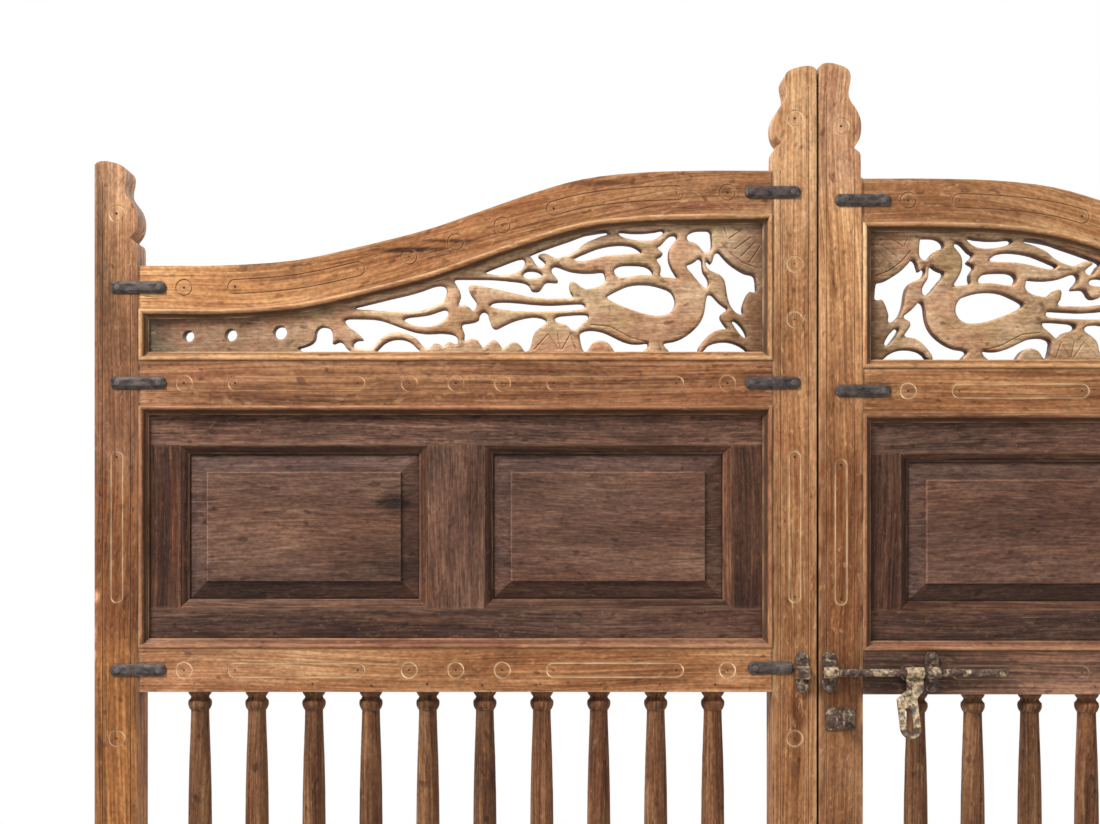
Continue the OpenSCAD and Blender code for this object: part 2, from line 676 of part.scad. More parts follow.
module hanging_stile(r) {
  translate([leaf_w, 0, 0]) mirror([1, 0, 0]) stile(r, false);
}
module hinge_screw_places(r) {
  for (z = hinge_levels(r), dz = [-flap_screw_gap / 2, flap_screw_gap / 2], dx = [0, flap_row_gap])
    translate([flap_row - axis_out + dx, back_y, z + dz]) rotate([-90, 0, 0]) children();
}
module clip_screw_places(x) {
  for (dz = [-clip_screw, clip_screw])
    from_face(x, face_y, rod_z + dz) children();
}

// Main rails
module tenons(zh, zm, h) {
  for (end = [[inner_x0 - tenon_l, inner_x0 + over, zm], [inner_x1 - over, inner_x1 + tenon_l, zh]])
    block(end[0], end[1], -tenon_t / 2, tenon_t / 2, end[2] + tenon_shoulder, end[2] + h - tenon_shoulder);
}
module strap_rail_holes(zm, zh, in = strap_nail_gap / 2) {
  if (zm != undef)
    from_face(inner_x0 + in, face_y, zm) shank_hole(shank_l + hole_end);
  from_face(inner_x1 - strap_nail_gap / 2, face_y, zh) shank_hole(shank_l + hole_end);
}
module straight_rail(z, h) {
  union() {
    block(inner_x0, inner_x1, face_y, back_y, z, z + h);
    tenons(z, z, h);
  }
}
module rail_marks(z) {
  for (s = ring_places)
    engrave() translate([mid_x + clear_w * s, z]) ring_mark();
  for (s = loop_places)
    engrave() loop_mark([mid_x + clear_w * s[0], z], [mid_x + clear_w * s[1], z], loop_r);
}
module peg_holes(z, up) {
  for (i = [1 : baluster_count])
    translate([baluster_x(i), 0, z]) rotate([up ? 0 : 180, 0, 0])
      translate([0, 0, -over]) cylinder(r = peg_r + joint_fit, h = peg_l + over + mortise_end);
}
module lock_rail(r) {
  z = lock_z(r);
  difference() {
    straight_rail(z, lock_rail_h);
    rail_marks(z + lock_rail_h / 2);
    strap_rail_holes(z + lock_rail_h / 2, z + lock_rail_h / 2);
  }
}
module lower_rail(r) {
  z = lower_z(r);
  mid = z + lower_rail_h / 2;
  difference() {
    straight_rail(z, lower_rail_h);
    rail_marks(mid);
    peg_holes(z, true);
    strap_rail_holes(
      r == 0 ? mid + lower_strap_lift : undef, mid, lower_strap_shift + nail_half(lower_strap_l)
    );
    if (r == 1)
      clip_screw_places(far_x + guide_w / 2 - meeting_gap / 2) shank_hole(shank_l + hole_end);
  }
}
module bottom_rail(r) {
  difference() {
    straight_rail(foot_h, bottom_rail_h);
    peg_holes(foot_h + bottom_rail_h, false);
  }
}
module top_rail(r) {
  lower = neck_path(r, 0);
  upper = neck_path(r, top_rail_h);
  last = len(upper) - 1;
  difference() {
    union() {
      slab(face_y, back_y) polygon(concat(lower, [for (i = [last : -1 : 0]) upper[i]]));
      tenons(neck_z(r, false), neck_z(r, true), top_rail_h);
    }
    for (s = ring_places)
      engrave() translate([mid_x + clear_w * s, neck_mid(r, mid_x + clear_w * s)]) ring_mark();
    for (s = loop_places)
      engrave() neck_loop(r, mid_x + clear_w * s[0] + loop_r, mid_x + clear_w * s[1] - loop_r);
    strap_rail_holes(neck_mid(r, inner_x0), neck_mid(r, inner_x1));
  }
}

// Carved panel and its mouldings
carve_in = 9;
carve_end = 15;
hole_in = 18;
carve_x = inner_x0 + carve_in;
carve_sx = (clear_w - carve_in - carve_end) / sheet_w;
carve_sz = (meeting_open_h - 2 * bead_w) / sheet_h;
carve_lean = 0.006;
lean_from = sheet_w / 3;
module carved_panel(r) {
  slab(panel_y, carving_back_y)
    difference() {
      polygon(inset(carving_path(r), panel_clear));
      for (p = piercings)
        polygon([
          for (q = closed_curve(p, curve_steps))
            [
              carve_x + carve_sx * q[0],
              carving_z(r) + bead_w + carve_sz * (q[1] + carve_lean * (q[0] - lean_from))
            ]
        ]);
      for (h = round_holes)
        translate([inner_x1 - hole_in - h[0], carving_z(r) + hole_in + h[1]]) circle(r = h[2]);
    }
}
module carving_beads(r) {
  strips(carving_path(r), bead_profile, face_y);
  fillets(carving_path(r), carving_back_y);
}

// Panelled frame
module panel_beads(r) {
  strips(panel_path(r), bead_profile, face_y);
  fillets(panel_path(r), inner_back_y);
}
groove_y0 = panel_y + groove_in;
groove_y1 = groove_y0 + groove_w;
tongue_fit = 0.5;
module inner_rail(r, top) {
  z0 = top ? lock_z(r) - inner_w : panel_z(r) + panel_clear;
  z1 = top ? lock_z(r) - panel_clear : panel_z(r) + inner_w;
  difference() {
    block(inner_x0 + panel_clear, inner_x1 - panel_clear, panel_y, inner_back_y, z0, z1);
    block(
      inner_x0, inner_x1, groove_y0, groove_y1,
      top ? z0 - over : z1 - groove_d, top ? z0 + groove_d : z1 + over
    );
  }
}
module inner_upright(r, x0, x1, left_groove, right_groove) {
  z0 = panel_z(r) + inner_w;
  z1 = lock_z(r) - inner_w;
  difference() {
    union() {
      block(x0, x1, panel_y, inner_back_y, z0, z1);
      block(
        x0 + (left_groove ? groove_d : 0), x1 - (right_groove ? groove_d : 0),
        groove_y0, groove_y1 - tongue_fit, z0 - groove_d + tongue_fit, z1 + groove_d - tongue_fit
      );
    }
    if (left_groove)
      block(x0 - over, x0 + groove_d, groove_y0, groove_y1, z0 - groove_d, z1 + groove_d);
    if (right_groove)
      block(x1 - groove_d, x1 + over, groove_y0, groove_y1, z0 - groove_d, z1 + groove_d);
  }
}
module inner_hanging_stile(r) {
  inner_upright(r, inner_x1 - inner_w, inner_x1 - panel_clear, true, false);
}
module inner_meeting_stile(r) {
  inner_upright(r, inner_x0 + panel_clear, inner_x0 + inner_w, false, true);
}
module muntin(r) {
  inner_upright(r, mid_x - muntin_w / 2, mid_x + muntin_w / 2, true, true);
}
function raised_outline(a, b) =
  let (
    m0 = a + panel_bead_w, m1 = b - panel_bead_w, f0 = m0 + bevel_w, f1 = m1 - bevel_w,
    t0 = a - groove_d + panel_clear, t1 = b + groove_d - panel_clear,
    front = groove_y0 - bevel_rise
  )
  [
    [t0, groove_y1 - tongue_fit], [t0, groove_y0], [m0, groove_y0], [f0, front], [f0, front - field_step],
    [f1, front - field_step], [f1, front], [m1, groove_y0], [t1, groove_y0], [t1, groove_y1 - tongue_fit]
  ];
module raised_panel(r, outer) {
  p = field_path(r, outer);
  x0 = p[0][0];
  x1 = p[1][0];
  z0 = p[0][1];
  z1 = p[2][1];
  intersection() {
    translate([0, 0, z0 - groove_d]) linear_extrude(z1 - z0 + 2 * groove_d) polygon(raised_outline(x0, x1));
    translate([x0 - groove_d, 0, 0]) rotate([90, 0, 90]) linear_extrude(x1 - x0 + 2 * groove_d)
      polygon([for (q = raised_outline(z0, z1)) [q[1], q[0]]]);
  }
}
module raised_beads(r) {
  for (outer = [true, false])
    strips(field_path(r, outer), panel_bead_profile, panel_y);
}

// Balusters
module baluster(h) {
  ends = [for (p = turning) [baluster_r * p[0], p[1]]];
  n = len(ends);
  rotate_extrude()
    polygon(concat(
      [[0, -peg_l], [peg_r, -peg_l], [peg_r, 0]],
      ends,
      [[baluster_r * swell, h / 2]],
      [for (i = [n - 1 : -1 : 0]) [ends[i][0], h - ends[i][1]]],
      [[peg_r, h], [peg_r, h + peg_l], [0, h + peg_l]]
    ));
}
module balusters(r) {
  for (i = [1 : baluster_count])
    translate([baluster_x(i), 0, foot_h + bottom_rail_h]) baluster(baluster_h(r));
}

// Joint straps and their nails
module strap_section(half) {
  polygon([
    [-half, 0], [half, 0], [half, -strap_side], [half - strap_slope, -strap_t],
    [-half + strap_slope, -strap_t], [-half, -strap_side]
  ]);
}
module strap_bar(l) {
  difference() {
    intersection() {
      slab(-strap_t, 0) stadium(l - strap_w, strap_w / 2);
      along_x(-l / 2, 0, 0) linear_extrude(l) strap_section(strap_w / 2);
      translate([0, 0, -strap_w / 2]) linear_extrude(strap_w) strap_section(l / 2);
    }
    for (dx = [-nail_half(l), nail_half(l)])
      from_face(dx, -strap_t, 0) shank_hole(strap_t + over);
  }
}
module straps(r) {
  for (meeting = [true, false], i = [0 : len(strap_levels(r, meeting)) - 1])
    translate(strap_spot(r, meeting, i)) strap_bar(strap_len(r, meeting, i));
}
module strap_nails(r) {
  for (meeting = [true, false], i = [0 : len(strap_levels(r, meeting)) - 1], end = [-1, 1])
    translate(strap_spot(r, meeting, i))
      from_face(end * nail_half(strap_len(r, meeting, i)), -strap_t, 0)
        shank(strap_t + shank_l, strap_head_h);
}

// Back-flap hinges: the leaf's flap on the stile, the fixed flap on the reveal behind it
module knuckle(z) {
  translate([hinge_x, hinge_y, z]) cylinder(r = knuckle_r, h = knuckle_h);
}
module knuckle_bore(z) {
  translate([hinge_x, hinge_y, z - hinge_h]) cylinder(r = pin_r + pin_fit, h = 2 * hinge_h);
}
module flap_relief(z0) {
  translate([hinge_x, hinge_y, z0 - knuckle_gap])
    cylinder(r = knuckle_r + knuckle_gap, h = knuckle_h + 2 * knuckle_gap);
}
module leaf_flap(r, z) {
  z0 = z - hinge_h / 2;
  z1 = z0 + knuckle_h + knuckle_gap;
  z2 = z1 + knuckle_h + knuckle_gap;
  difference() {
    union() {
      difference() {
        block(hinge_x - flap_l, hinge_x, back_y, back_y + flap_t, z0, z0 + hinge_h);
        flap_relief(z0);
        flap_relief(z2);
      }
      knuckle(z1);
    }
    knuckle_bore(z);
    for (dz = [-flap_screw_gap / 2, flap_screw_gap / 2], dx = [0, flap_row_gap])
      translate([hinge_x - flap_row - dx, back_y + flap_t, z + dz]) rotate([-90, 0, 0])
        shank_hole(flap_t + over);
  }
}
module hinge_leaf_flaps(r) {
  for (z = hinge_levels(r))
    leaf_flap(r, z);
}
module hinge_screws(r) {
  for (z = hinge_levels(r), dz = [-flap_screw_gap / 2, flap_screw_gap / 2], dx = [0, flap_row_gap])
    translate([hinge_x - flap_row - dx, back_y + flap_t, z + dz]) rotate([-90, 0, 0])
      shank(flap_t + shank_l);
}
module fixed_flap(z) {
  z0 = z - hinge_h / 2;
  z1 = z0 + knuckle_h + knuckle_gap;
  z2 = z1 + knuckle_h + knuckle_gap;
  x1 = hinge_x + knuckle_r;
  difference() {
    union() {
      difference() {
        block(x1 - flap_t, x1, hinge_y, hinge_y + flap_l, z0, z0 + hinge_h);
        flap_relief(z1);
      }
      knuckle(z0);
      knuckle(z2);
    }
    knuckle_bore(z);
    for (dz = [-flap_screw_gap / 2, flap_screw_gap / 2], dy = [0, flap_row_gap])
      along_x(x1 - flap_t - over, hinge_y + flap_row + dy, z + dz)
        cylinder(r = flap_hole_r, h = flap_t + 2 * over);
  }
}
module hinge_fixed_flaps(r) {
  for (z = hinge_levels(r))
    fixed_flap(z);
}
module hinge_pins(r) {
  for (z = hinge_levels(r))
    translate([hinge_x, hinge_y, z - hinge_h / 2 - pin_head_h])
      rotate_extrude()
        polygon([
          [0, 0], [pin_r, 0], [pin_r, hinge_h + pin_head_h], [pin_head_r, hinge_h + pin_head_h],
          [pin_head_r, hinge_h + (1 + pin_dome) * pin_head_h],
          [pin_head_r * pin_dome, hinge_h + 2 * pin_head_h],
          [0, hinge_h + 2 * pin_head_h]
        ]);
}

// Sliding bolt, drawn back, with the hasp parked forward
module bolt_rod() {
  color("saddlebrown")
    along_x(rod_x, rod_y, rod_z)
      rotate_extrude()
        polygon([
          [0, 0], [rod_r * 0.7, 0], [rod_r, rod_r * 0.4], [rod_r, rod_l - rod_r * 0.4],
          [rod_r * 0.7, rod_l], [0, rod_l]
        ]);
}
module clip_outline(bore) {
  difference() {
    union() {
      translate([-clip_half, 0]) square([2 * clip_half, clip_t]);
      translate([-bore - clip_t, 0]) square([2 * (bore + clip_t), rod_out]);
      translate([0, rod_out]) circle(r = bore + clip_t);
    }
    translate([-bore, -over]) square([2 * bore, rod_out + over]);
    translate([0, rod_out]) circle(r = bore);
  }
}
module clip(x, w, bore) {
  difference() {
    intersection() {
      translate([x, face_y, rod_z]) rotate([90, 0, 90]) linear_extrude(w)
        rotate(90) clip_outline(bore);
      translate([x + w / 2, face_y, rod_z])
        slab(-2 * rod_out, over) rotate(90) stadium(2 * clip_half - w, w / 2);
    }
    clip_screw_places(x + w / 2) translate([0, 0, clip_t]) shank_hole(2 * clip_t);
  }
}
module clip_screws(x, w) {
  clip_screw_places(x + w / 2) translate([0, 0, clip_t]) shank(clip_t + shank_l);
}
module bolt_keeper() {
  color("dimgray") clip(keeper_x, keeper_w, rod_r + keeper_fit);
}
module bolt_guides() {
  color("dimgray") clip(near_x, guide_w, rod_r + rod_fit);
  color("dimgray") clip(far_x, guide_w, rod_r + rod_fit);
}
module keeper_screws() {
  color("gray") clip_screws(keeper_x, keeper_w);
}
module guide_screws() {
  color("gray") clip_screws(near_x, guide_w);
  color("gray") clip_screws(far_x, guide_w);
}
module hasp_outline() {
  end = hasp_w / 2;
  difference() {
    union() {
      polygon([
        [wrap_x, 0], [wrap_x + wrap_w, 0], [wrap_x + wrap_w, -arm_z], [plate_x + hasp_w, -plate_z],
        [plate_x + hasp_w, -hasp_l + end], [plate_x, -hasp_l + end], [plate_x, -plate_z], [wrap_x, -arm_z]
      ]);
      translate([plate_x + end, -hasp_l + end]) circle(r = end);
    }
    translate([slot_x, -slot_z]) rotate(90) stadium(slot_h - slot_w, slot_w / 2);
  }
}
module bolt_hasp() {
  color("darkkhaki")
    translate([0, rod_y, rod_z]) rotate([-hasp_park, 0, 0])
      difference() {
        union() {
          slab(wrap_r - hasp_t, wrap_r) hasp_outline();
          along_x(wrap_x, 0, 0) cylinder(r = wrap_r, h = wrap_w);
        }
        along_x(wrap_x - over, 0, 0) cylinder(r = rod_r + rod_fit, h = wrap_w + 2 * over);
      }
}
module bolt_staple() {
  staple_z = rod_z - slot_z;
  color("tan") {
    block(base_x, base_x + base_w, face_y - base_t, face_y, staple_z - base_h / 2, staple_z + base_h / 2);
    along_x(eye_x - eye_t / 2, face_y, staple_z)
      linear_extrude(eye_t)
        difference() {
          union() {
            translate([-eye_h / 2, -padlock_out]) square([eye_h, padlock_out]);
            intersection() {
              translate([0, -eye_out + eye_h / 2]) circle(r = eye_h / 2);
              translate([-eye_h / 2, -eye_out]) square([eye_h, eye_out]);
            }
          }
          translate([0, -padlock_out]) circle(r = padlock_r);
        }
  }
}

// Named pieces
module left_hanging_stile() { color("peru") place(0) hanging_stile(0); }
module left_meeting_stile() { color("peru") place(0) meeting_stile(0); }
module left_top_rail() { color("sandybrown") place(0) top_rail(0); }
module left_lock_rail() { color("sandybrown") place(0) lock_rail(0); }
module left_lower_rail() { color("sandybrown") place(0) lower_rail(0); }
module left_bottom_rail() { color("sandybrown") place(0) bottom_rail(0); }
module left_carved_panel() { color("sienna") place(0) carved_panel(0); }
module left_carving_beads() { color("burlywood") place(0) carving_beads(0); }
module left_panel_beads() { color("burlywood") place(0) panel_beads(0); }
module left_inner_top_rail() { color("saddlebrown") place(0) inner_rail(0, true); }
module left_inner_bottom_rail() { color("saddlebrown") place(0) inner_rail(0, false); }
module left_inner_hanging_stile() { color("saddlebrown") place(0) inner_hanging_stile(0); }
module left_inner_meeting_stile() { color("saddlebrown") place(0) inner_meeting_stile(0); }
module left_muntin() { color("saddlebrown") place(0) muntin(0); }
module left_raised_panel_outer() { color("sienna") place(0) raised_panel(0, true); }
module left_raised_panel_inner() { color("sienna") place(0) raised_panel(0, false); }
module left_raised_beads() { color("brown") place(0) raised_beads(0); }
module left_balusters() { color("peru") place(0) balusters(0); }
module left_straps() { color("dimgray") place(0) straps(0); }
module left_strap_nails() { color("gray") place(0) strap_nails(0); }
module left_hinge_leaf_flaps() { color("dimgray") place(0) hinge_leaf_flaps(0); }
module left_hinge_screws() { color("gray") place(0) hinge_screws(0); }
module left_hinge_fixed_flaps() { color("slategray") place(0) hinge_fixed_flaps(0); }
module left_hinge_pins() { color("lightgray") place(0) hinge_pins(0); }
module right_hanging_stile() { color("peru") place(1) hanging_stile(1); }
module right_meeting_stile() { color("peru") place(1) meeting_stile(1); }
module right_top_rail() { color("sandybrown") place(1) top_rail(1); }
module right_lock_rail() { color("sandybrown") place(1) lock_rail(1); }
module right_lower_rail() { color("sandybrown") place(1) lower_rail(1); }
module right_bottom_rail() { color("sandybrown") place(1) bottom_rail(1); }
module right_carved_panel() { color("sienna") place(1) carved_panel(1); }
module right_carving_beads() { color("burlywood") place(1) carving_beads(1); }
module right_panel_beads() { color("burlywood") place(1) panel_beads(1); }
module right_inner_top_rail() { color("saddlebrown") place(1) inner_rail(1, true); }
module right_inner_bottom_rail() { color("saddlebrown") place(1) inner_rail(1, false); }
module right_inner_hanging_stile() { color("saddlebrown") place(1) inner_hanging_stile(1); }
module right_inner_meeting_stile() { color("saddlebrown") place(1) inner_meeting_stile(1); }
module right_muntin() { color("saddlebrown") place(1) muntin(1); }
module right_raised_panel_outer() { color("sienna") place(1) raised_panel(1, true); }
module right_raised_panel_inner() { color("sienna") place(1) raised_panel(1, false); }
module right_raised_beads() { color("brown") place(1) raised_beads(1); }
module right_balusters() { color("peru") place(1) balusters(1); }
module right_straps() { color("dimgray") place(1) straps(1); }
module right_strap_nails() { color("gray") place(1) strap_nails(1); }
module right_hinge_leaf_flaps() { color("dimgray") place(1) hinge_leaf_flaps(1); }
module right_hinge_screws() { color("gray") place(1) hinge_screws(1); }
module right_hinge_fixed_flaps() { color("slategray") place(1) hinge_fixed_flaps(1); }
module right_hinge_pins() { color("lightgray") place(1) hinge_pins(1); }

left_hanging_stile();
left_meeting_stile();
left_top_rail();
left_lock_rail();
left_lower_rail();
left_bottom_rail();
left_carved_panel();
left_carving_beads();
left_panel_beads();
left_inner_top_rail();
left_inner_bottom_rail();
left_inner_hanging_stile();
left_inner_meeting_stile();
left_muntin();
left_raised_panel_outer();
left_raised_panel_inner();
left_raised_beads();
left_balusters();
left_straps();
left_strap_nails();
left_hinge_leaf_flaps();
left_hinge_screws();
left_hinge_fixed_flaps();
left_hinge_pins();
right_hanging_stile();
right_meeting_stile();
right_top_rail();
right_lock_rail();
right_lower_rail();
right_bottom_rail();
right_carved_panel();
right_carving_beads();
right_panel_beads();
right_inner_top_rail();
right_inner_bottom_rail();
right_inner_hanging_stile();
right_inner_meeting_stile();
right_muntin();
right_raised_panel_outer();
right_raised_panel_inner();
right_raised_beads();
right_balusters();
right_straps();
right_strap_nails();
right_hinge_leaf_flaps();
right_hinge_screws();
right_hinge_fixed_flaps();
right_hinge_pins();
bolt_rod();
bolt_hasp();
bolt_keeper();
bolt_guides();
bolt_staple();
keeper_screws();
guide_screws();
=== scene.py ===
import math
from collections import namedtuple

import bmesh
import bpy
from mathutils import Matrix, Vector
from mathutils.geometry import intersect_point_line
from mathutils.kdtree import KDTree


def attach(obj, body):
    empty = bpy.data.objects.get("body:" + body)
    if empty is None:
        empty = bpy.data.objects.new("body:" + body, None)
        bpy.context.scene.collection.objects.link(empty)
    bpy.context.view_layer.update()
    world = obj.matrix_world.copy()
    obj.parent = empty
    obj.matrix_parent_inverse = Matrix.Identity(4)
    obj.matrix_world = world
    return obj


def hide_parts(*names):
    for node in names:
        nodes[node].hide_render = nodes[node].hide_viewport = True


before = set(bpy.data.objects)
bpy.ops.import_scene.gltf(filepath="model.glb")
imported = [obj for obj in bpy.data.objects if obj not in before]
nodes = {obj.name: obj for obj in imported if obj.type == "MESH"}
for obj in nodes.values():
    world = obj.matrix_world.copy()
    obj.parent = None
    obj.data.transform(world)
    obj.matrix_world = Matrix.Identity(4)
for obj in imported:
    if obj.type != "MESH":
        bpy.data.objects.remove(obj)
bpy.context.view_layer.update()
scene = bpy.context.scene
scene.view_settings.view_transform = "Standard"

# Leaf sizes in metres, as in the part's source; in pairs the left leaf comes first
FRONT = -0.0275
GAP = 0.002
STILE = 0.072
CLEAR = 1.040
MIDDLE = 0.592
PANEL_FRONT = -0.0155
BEAD = 0.015
LOWER_Z = (0.665, 0.661)
PANEL_Z = (0.737, 0.733)
LOCK_Z = (1.135, 1.122)
CARVING_Z = (1.209, 1.196)
NECK_LOW = 0.084
NECK_RISE = 0.156
NECK_SPAN = (0.188, 0.979)
LOWER_RAIL, LOCK_RAIL, NECK_RAIL = 0.072, 0.074, 0.071
JOINTS = (GAP + STILE, GAP + STILE + CLEAR)
OUTER = JOINTS[1] + STILE
LEAVES = ("left", "right")


def leaf_x(leaf, x):
    """World x of a distance from the leaf's meeting edge."""
    return GAP + x if leaf else -GAP - x


# Camera opposite the photographed middle of the left leaf
PHOTO = (1100, 824)
PIXEL = 0.00164
MEETING_PX = 817.75
LOWER_RAIL_PX = 692
EYE_PX = (525, 500)
DISTANCE = 2.2
SENSOR = 36

camera = bpy.data.objects.new("camera", bpy.data.cameras.new("camera"))
scene.collection.objects.link(camera)
camera.location = (
    (EYE_PX[0] - MEETING_PX) * PIXEL,
    FRONT - DISTANCE,
    LOWER_Z[0] + (LOWER_RAIL_PX - EYE_PX[1]) * PIXEL,
)
camera.rotation_euler = (math.pi / 2, 0, 0)
camera.data.sensor_width = SENSOR
camera.data.lens = DISTANCE / PIXEL / PHOTO[0] * SENSOR
camera.data.shift_x = (PHOTO[0] / 2 - EYE_PX[0]) / PHOTO[0]
camera.data.shift_y = (EYE_PX[1] - PHOTO[1] / 2) / PHOTO[0]
scene.camera = camera


# Finishes
def tone(red, green, blue):
    """A colour written as it looks on screen, for a shader socket."""
    parts = []
    for value in (red, green, blue):
        share = value / 255
        parts.append(share / 12.92 if share <= 0.04045 else ((share + 0.055) / 1.055) ** 2.4)
    return (*parts, 1)


# A noise: its repeats a metre along, through and across the grain, its octaves and roughness,
# and the two levels between which its patches begin and are whole
Pattern = namedtuple("Pattern", "repeats octaves rough low high", defaults=(0.0, 1.0))


class Finish:
    """One material and short calls that add its nodes."""

    def __init__(self, name):
        self.material = bpy.data.materials.new(name)
        self.material.use_nodes = True
        self.tree = self.material.node_tree
        self.tree.nodes.clear()
        self.skin = self.add("BsdfPrincipled")
        self.out = self.add("OutputMaterial", {}, Surface=self.skin.outputs[0])
        self.spot = self.add("TexCoord").outputs["Object"]

    def add(self, kind, settings=None, **sockets):
        node = self.tree.nodes.new("ShaderNode" + kind)
        for key, value in (settings or {}).items():
            setattr(node, key, value)
        for key, value in sockets.items():
            self.plug(node.inputs[key.replace("_", " ")], value)
        return node

    def plug(self, socket, value):
        if isinstance(value, bpy.types.NodeSocket):
            self.tree.links.new(value, socket)
        else:
            socket.default_value = value

    def sum(self, how, first, second=0.0, clamp=False):
        node = self.add("Math", {"operation": how, "use_clamp": clamp})
        self.plug(node.inputs[0], first)
        self.plug(node.inputs[1], second)
        return node.outputs[0]

    def times(self, first, second):
        return self.sum("MULTIPLY", first, second)

    def size(self, value):
        return self.sum("ABSOLUTE", value)

    def apart(self, value, place):
        """How far a value is from a place, either way."""
        return self.size(self.sum("SUBTRACT", value, place))

    def rest(self, share):
        return self.sum("SUBTRACT", 1.0, share)

    def swing(self, noise, width):
        """A noise's swing about its middle."""
        return self.times(self.sum("SUBTRACT", noise, 0.5), width)

    def stretch(self, vector, scale, shift=(0, 0, 0)):
        return self.add("Mapping", {}, Vector=vector, Scale=scale, Location=shift).outputs[0]

    def noise(self, vector, octaves, rough):
        node = self.add("TexNoise", {}, Vector=vector, Scale=1.0, Detail=octaves, Roughness=rough)
        return node.outputs["Fac"]

    def pattern(self, vector, shape, shift=(0, 0, 0)):
        return self.noise(self.stretch(vector, shape.repeats, shift), shape.octaves, shape.rough)

    def patches(self, vector, shape, shift=(0, 0, 0), start=0.0, end=1.0):
        """The share of a pattern's patches, from start outside them to end inside."""
        return self.step(self.pattern(vector, shape, shift), shape.low, shape.high, start, end)

    def ramp(self, share, stops):
        node = self.add("ValToRGB", {}, Fac=share)
        line = node.color_ramp.elements
        line[0].position, line[0].color = stops[0]
        line[1].position, line[1].color = stops[-1]
        for place, colour in stops[1:-1]:
            line.new(place).color = colour
        return node.outputs[0]

    def step(self, share, low, high, start=0.0, end=1.0, kind="LINEAR"):
        node = self.add("MapRange", {"clamp": True, "interpolation_type": kind}, Value=share)
        for socket, value in zip(("From Min", "From Max", "To Min", "To Max"), (low, high, start, end)):
            node.inputs[socket].default_value = value
        return node.outputs[0]

    def slide(self, value, low, high, share):
        """From nothing at low to the whole share at high, whichever of the two is larger."""
        ends = (0.0, share) if low < high else (share, 0.0)
        return self.step(value, min(low, high), max(low, high), *ends)

    def band(self, value, low, high, soft):
        rise = self.step(value, low - soft, low)
        return self.times(rise, self.step(value, high, high + soft, 1.0, 0.0))

    def mix(self, how, share, under, over):
        node = self.add("Mix", {"data_type": "RGBA", "blend_type": how})
        self.plug(node.inputs[0], share)
        self.plug(node.inputs[6], under)
        self.plug(node.inputs[7], over)
        return node.outputs[2]

    def shade(self, colour, share, tint):
        return self.mix("MULTIPLY", share, colour, tint)

    def cover(self, colour, share, coat):
        return self.mix("MIX", share, colour, coat)

    def length(self, vector):
        return self.add("VectorMath", {"operation": "LENGTH"}, Vector=vector).outputs["Value"]

    def facing(self, normal):
        """The parts of a normal in the piece's own frame."""
        turn = {"vector_type": "NORMAL", "convert_from": "WORLD", "convert_to": "OBJECT"}
        turned = self.add("VectorTransform", turn, Vector=normal)
        return self.add("SeparateXYZ", {}, Vector=turned.outputs[0]).outputs

    def softened(self, radius):
        return self.add("Bevel", {"samples": 2}, Radius=radius).outputs[0]

    def hollows(self, reach, inside=False):
        """The share of corners within reach; with inside, of the piece's own outer edges."""
        settings = {"samples": 2, "inside": inside, "only_local": inside}
        return self.rest(self.add("AmbientOcclusion", settings, Distance=reach).outputs["AO"])

    def surface(self, colour, rough, height, depth, strength, edge, specular):
        bump = self.add(
            "Bump", {}, Height=height, Distance=depth, Strength=strength, Normal=self.softened(edge)
        )
        self.plug(self.skin.inputs["Base Color"], colour)
        self.plug(self.skin.inputs["Roughness"], rough)
        self.plug(self.skin.inputs["Normal"], bump.outputs[0])
        self.skin.inputs["Specular IOR Level"].default_value = specular
        return self.material


# Patterns of the timber
SWAY = Pattern((1.6, 2, 4.5), 1.0, 0.55)
BROAD = Pattern((2.6, 6, 11), 4.0, 0.68)
STREAKS = Pattern((3, 44, 84), 3.0, 0.64)
HAIRS = Pattern((4, 160, 250), 2.0, 0.72)
PITS = Pattern((110, 210, 210), 1.0, 0.7, 0.32, 0.68)
RING_PLACES = Pattern((1.4, 6, 10), 2.0, 0.55, 0.42, 0.60)
WARM = Pattern((1.8, 5, 11), 2.0, 0.55, 0.44, 0.64)
TINTED = Pattern((11, 11, 16), 2.0, 0.64, 0.47, 0.62)
SMEARS = Pattern((6, 12, 20), 4.0, 0.74, 0.51, 0.70)
SPOTS = Pattern((42, 80, 80), 1.0, 0.6, 0.66, 0.72)
DABS = Pattern((46, 120, 120), 2.0, 0.7, 0.60, 0.72)
SPLITS = Pattern((2.4, 30, 120), 2.0, 0.6)
SPLIT_PLACES = Pattern((3, 9, 22), 1.0, 0.55, 0.52, 0.60)
SCUFFS = Pattern((18, 30, 380), 1.0, 0.6, 0.66, 0.74)
SCUFF_PLACES = Pattern((6, 10, 10), 1.0, 0.55, 0.46, 0.6)
SPECKS = Pattern((230, 230, 230), 2.0, 0.5, 0.70, 0.76)
RUBBED = Pattern((18, 40, 60), 2.0, 0.7, 0.38, 0.60)

SWAY_WIDTH = 0.05
BROAD_SHARE, STREAK_SHARE, HAIR_SHARE = 0.42, 0.2, 0.38
GRAIN_SPREAD = 0.12
PIT_TONES = (0.78, 1.22)
RING_RUN = (0.03, 0.15, 1)
RING_WAVE = {
    "Scale": 48.0, "Distortion": 18.0, "Detail": 3.0, "Detail_Scale": 0.8, "Detail_Roughness": 0.68,
}
RING_FROM = 0.55
SHIFT_RAGGED = 0.6
STAIN_RAGGED = 1.6
STAIN_CORE = 0.35
SPOT_SHARE = 0.5
DAB_SHARE = 0.5
SPLIT_WIDTH = 0.012
SCUFF_TURN = 0.62
SCUFF_SHARE = 0.4
# The cove's painted shade is lighter on faces leaning up
COVE_LEAN = (0.15, 0.5)
COVE_LEAST = 0.3
JOINT_RAGGED = 0.003
JOINT_REACH = (-0.0004, 0.0022)
JOINT_SHARE = 0.85
AHEAD = (-0.9, -0.5)
RUBBED_LEAST = 0.15
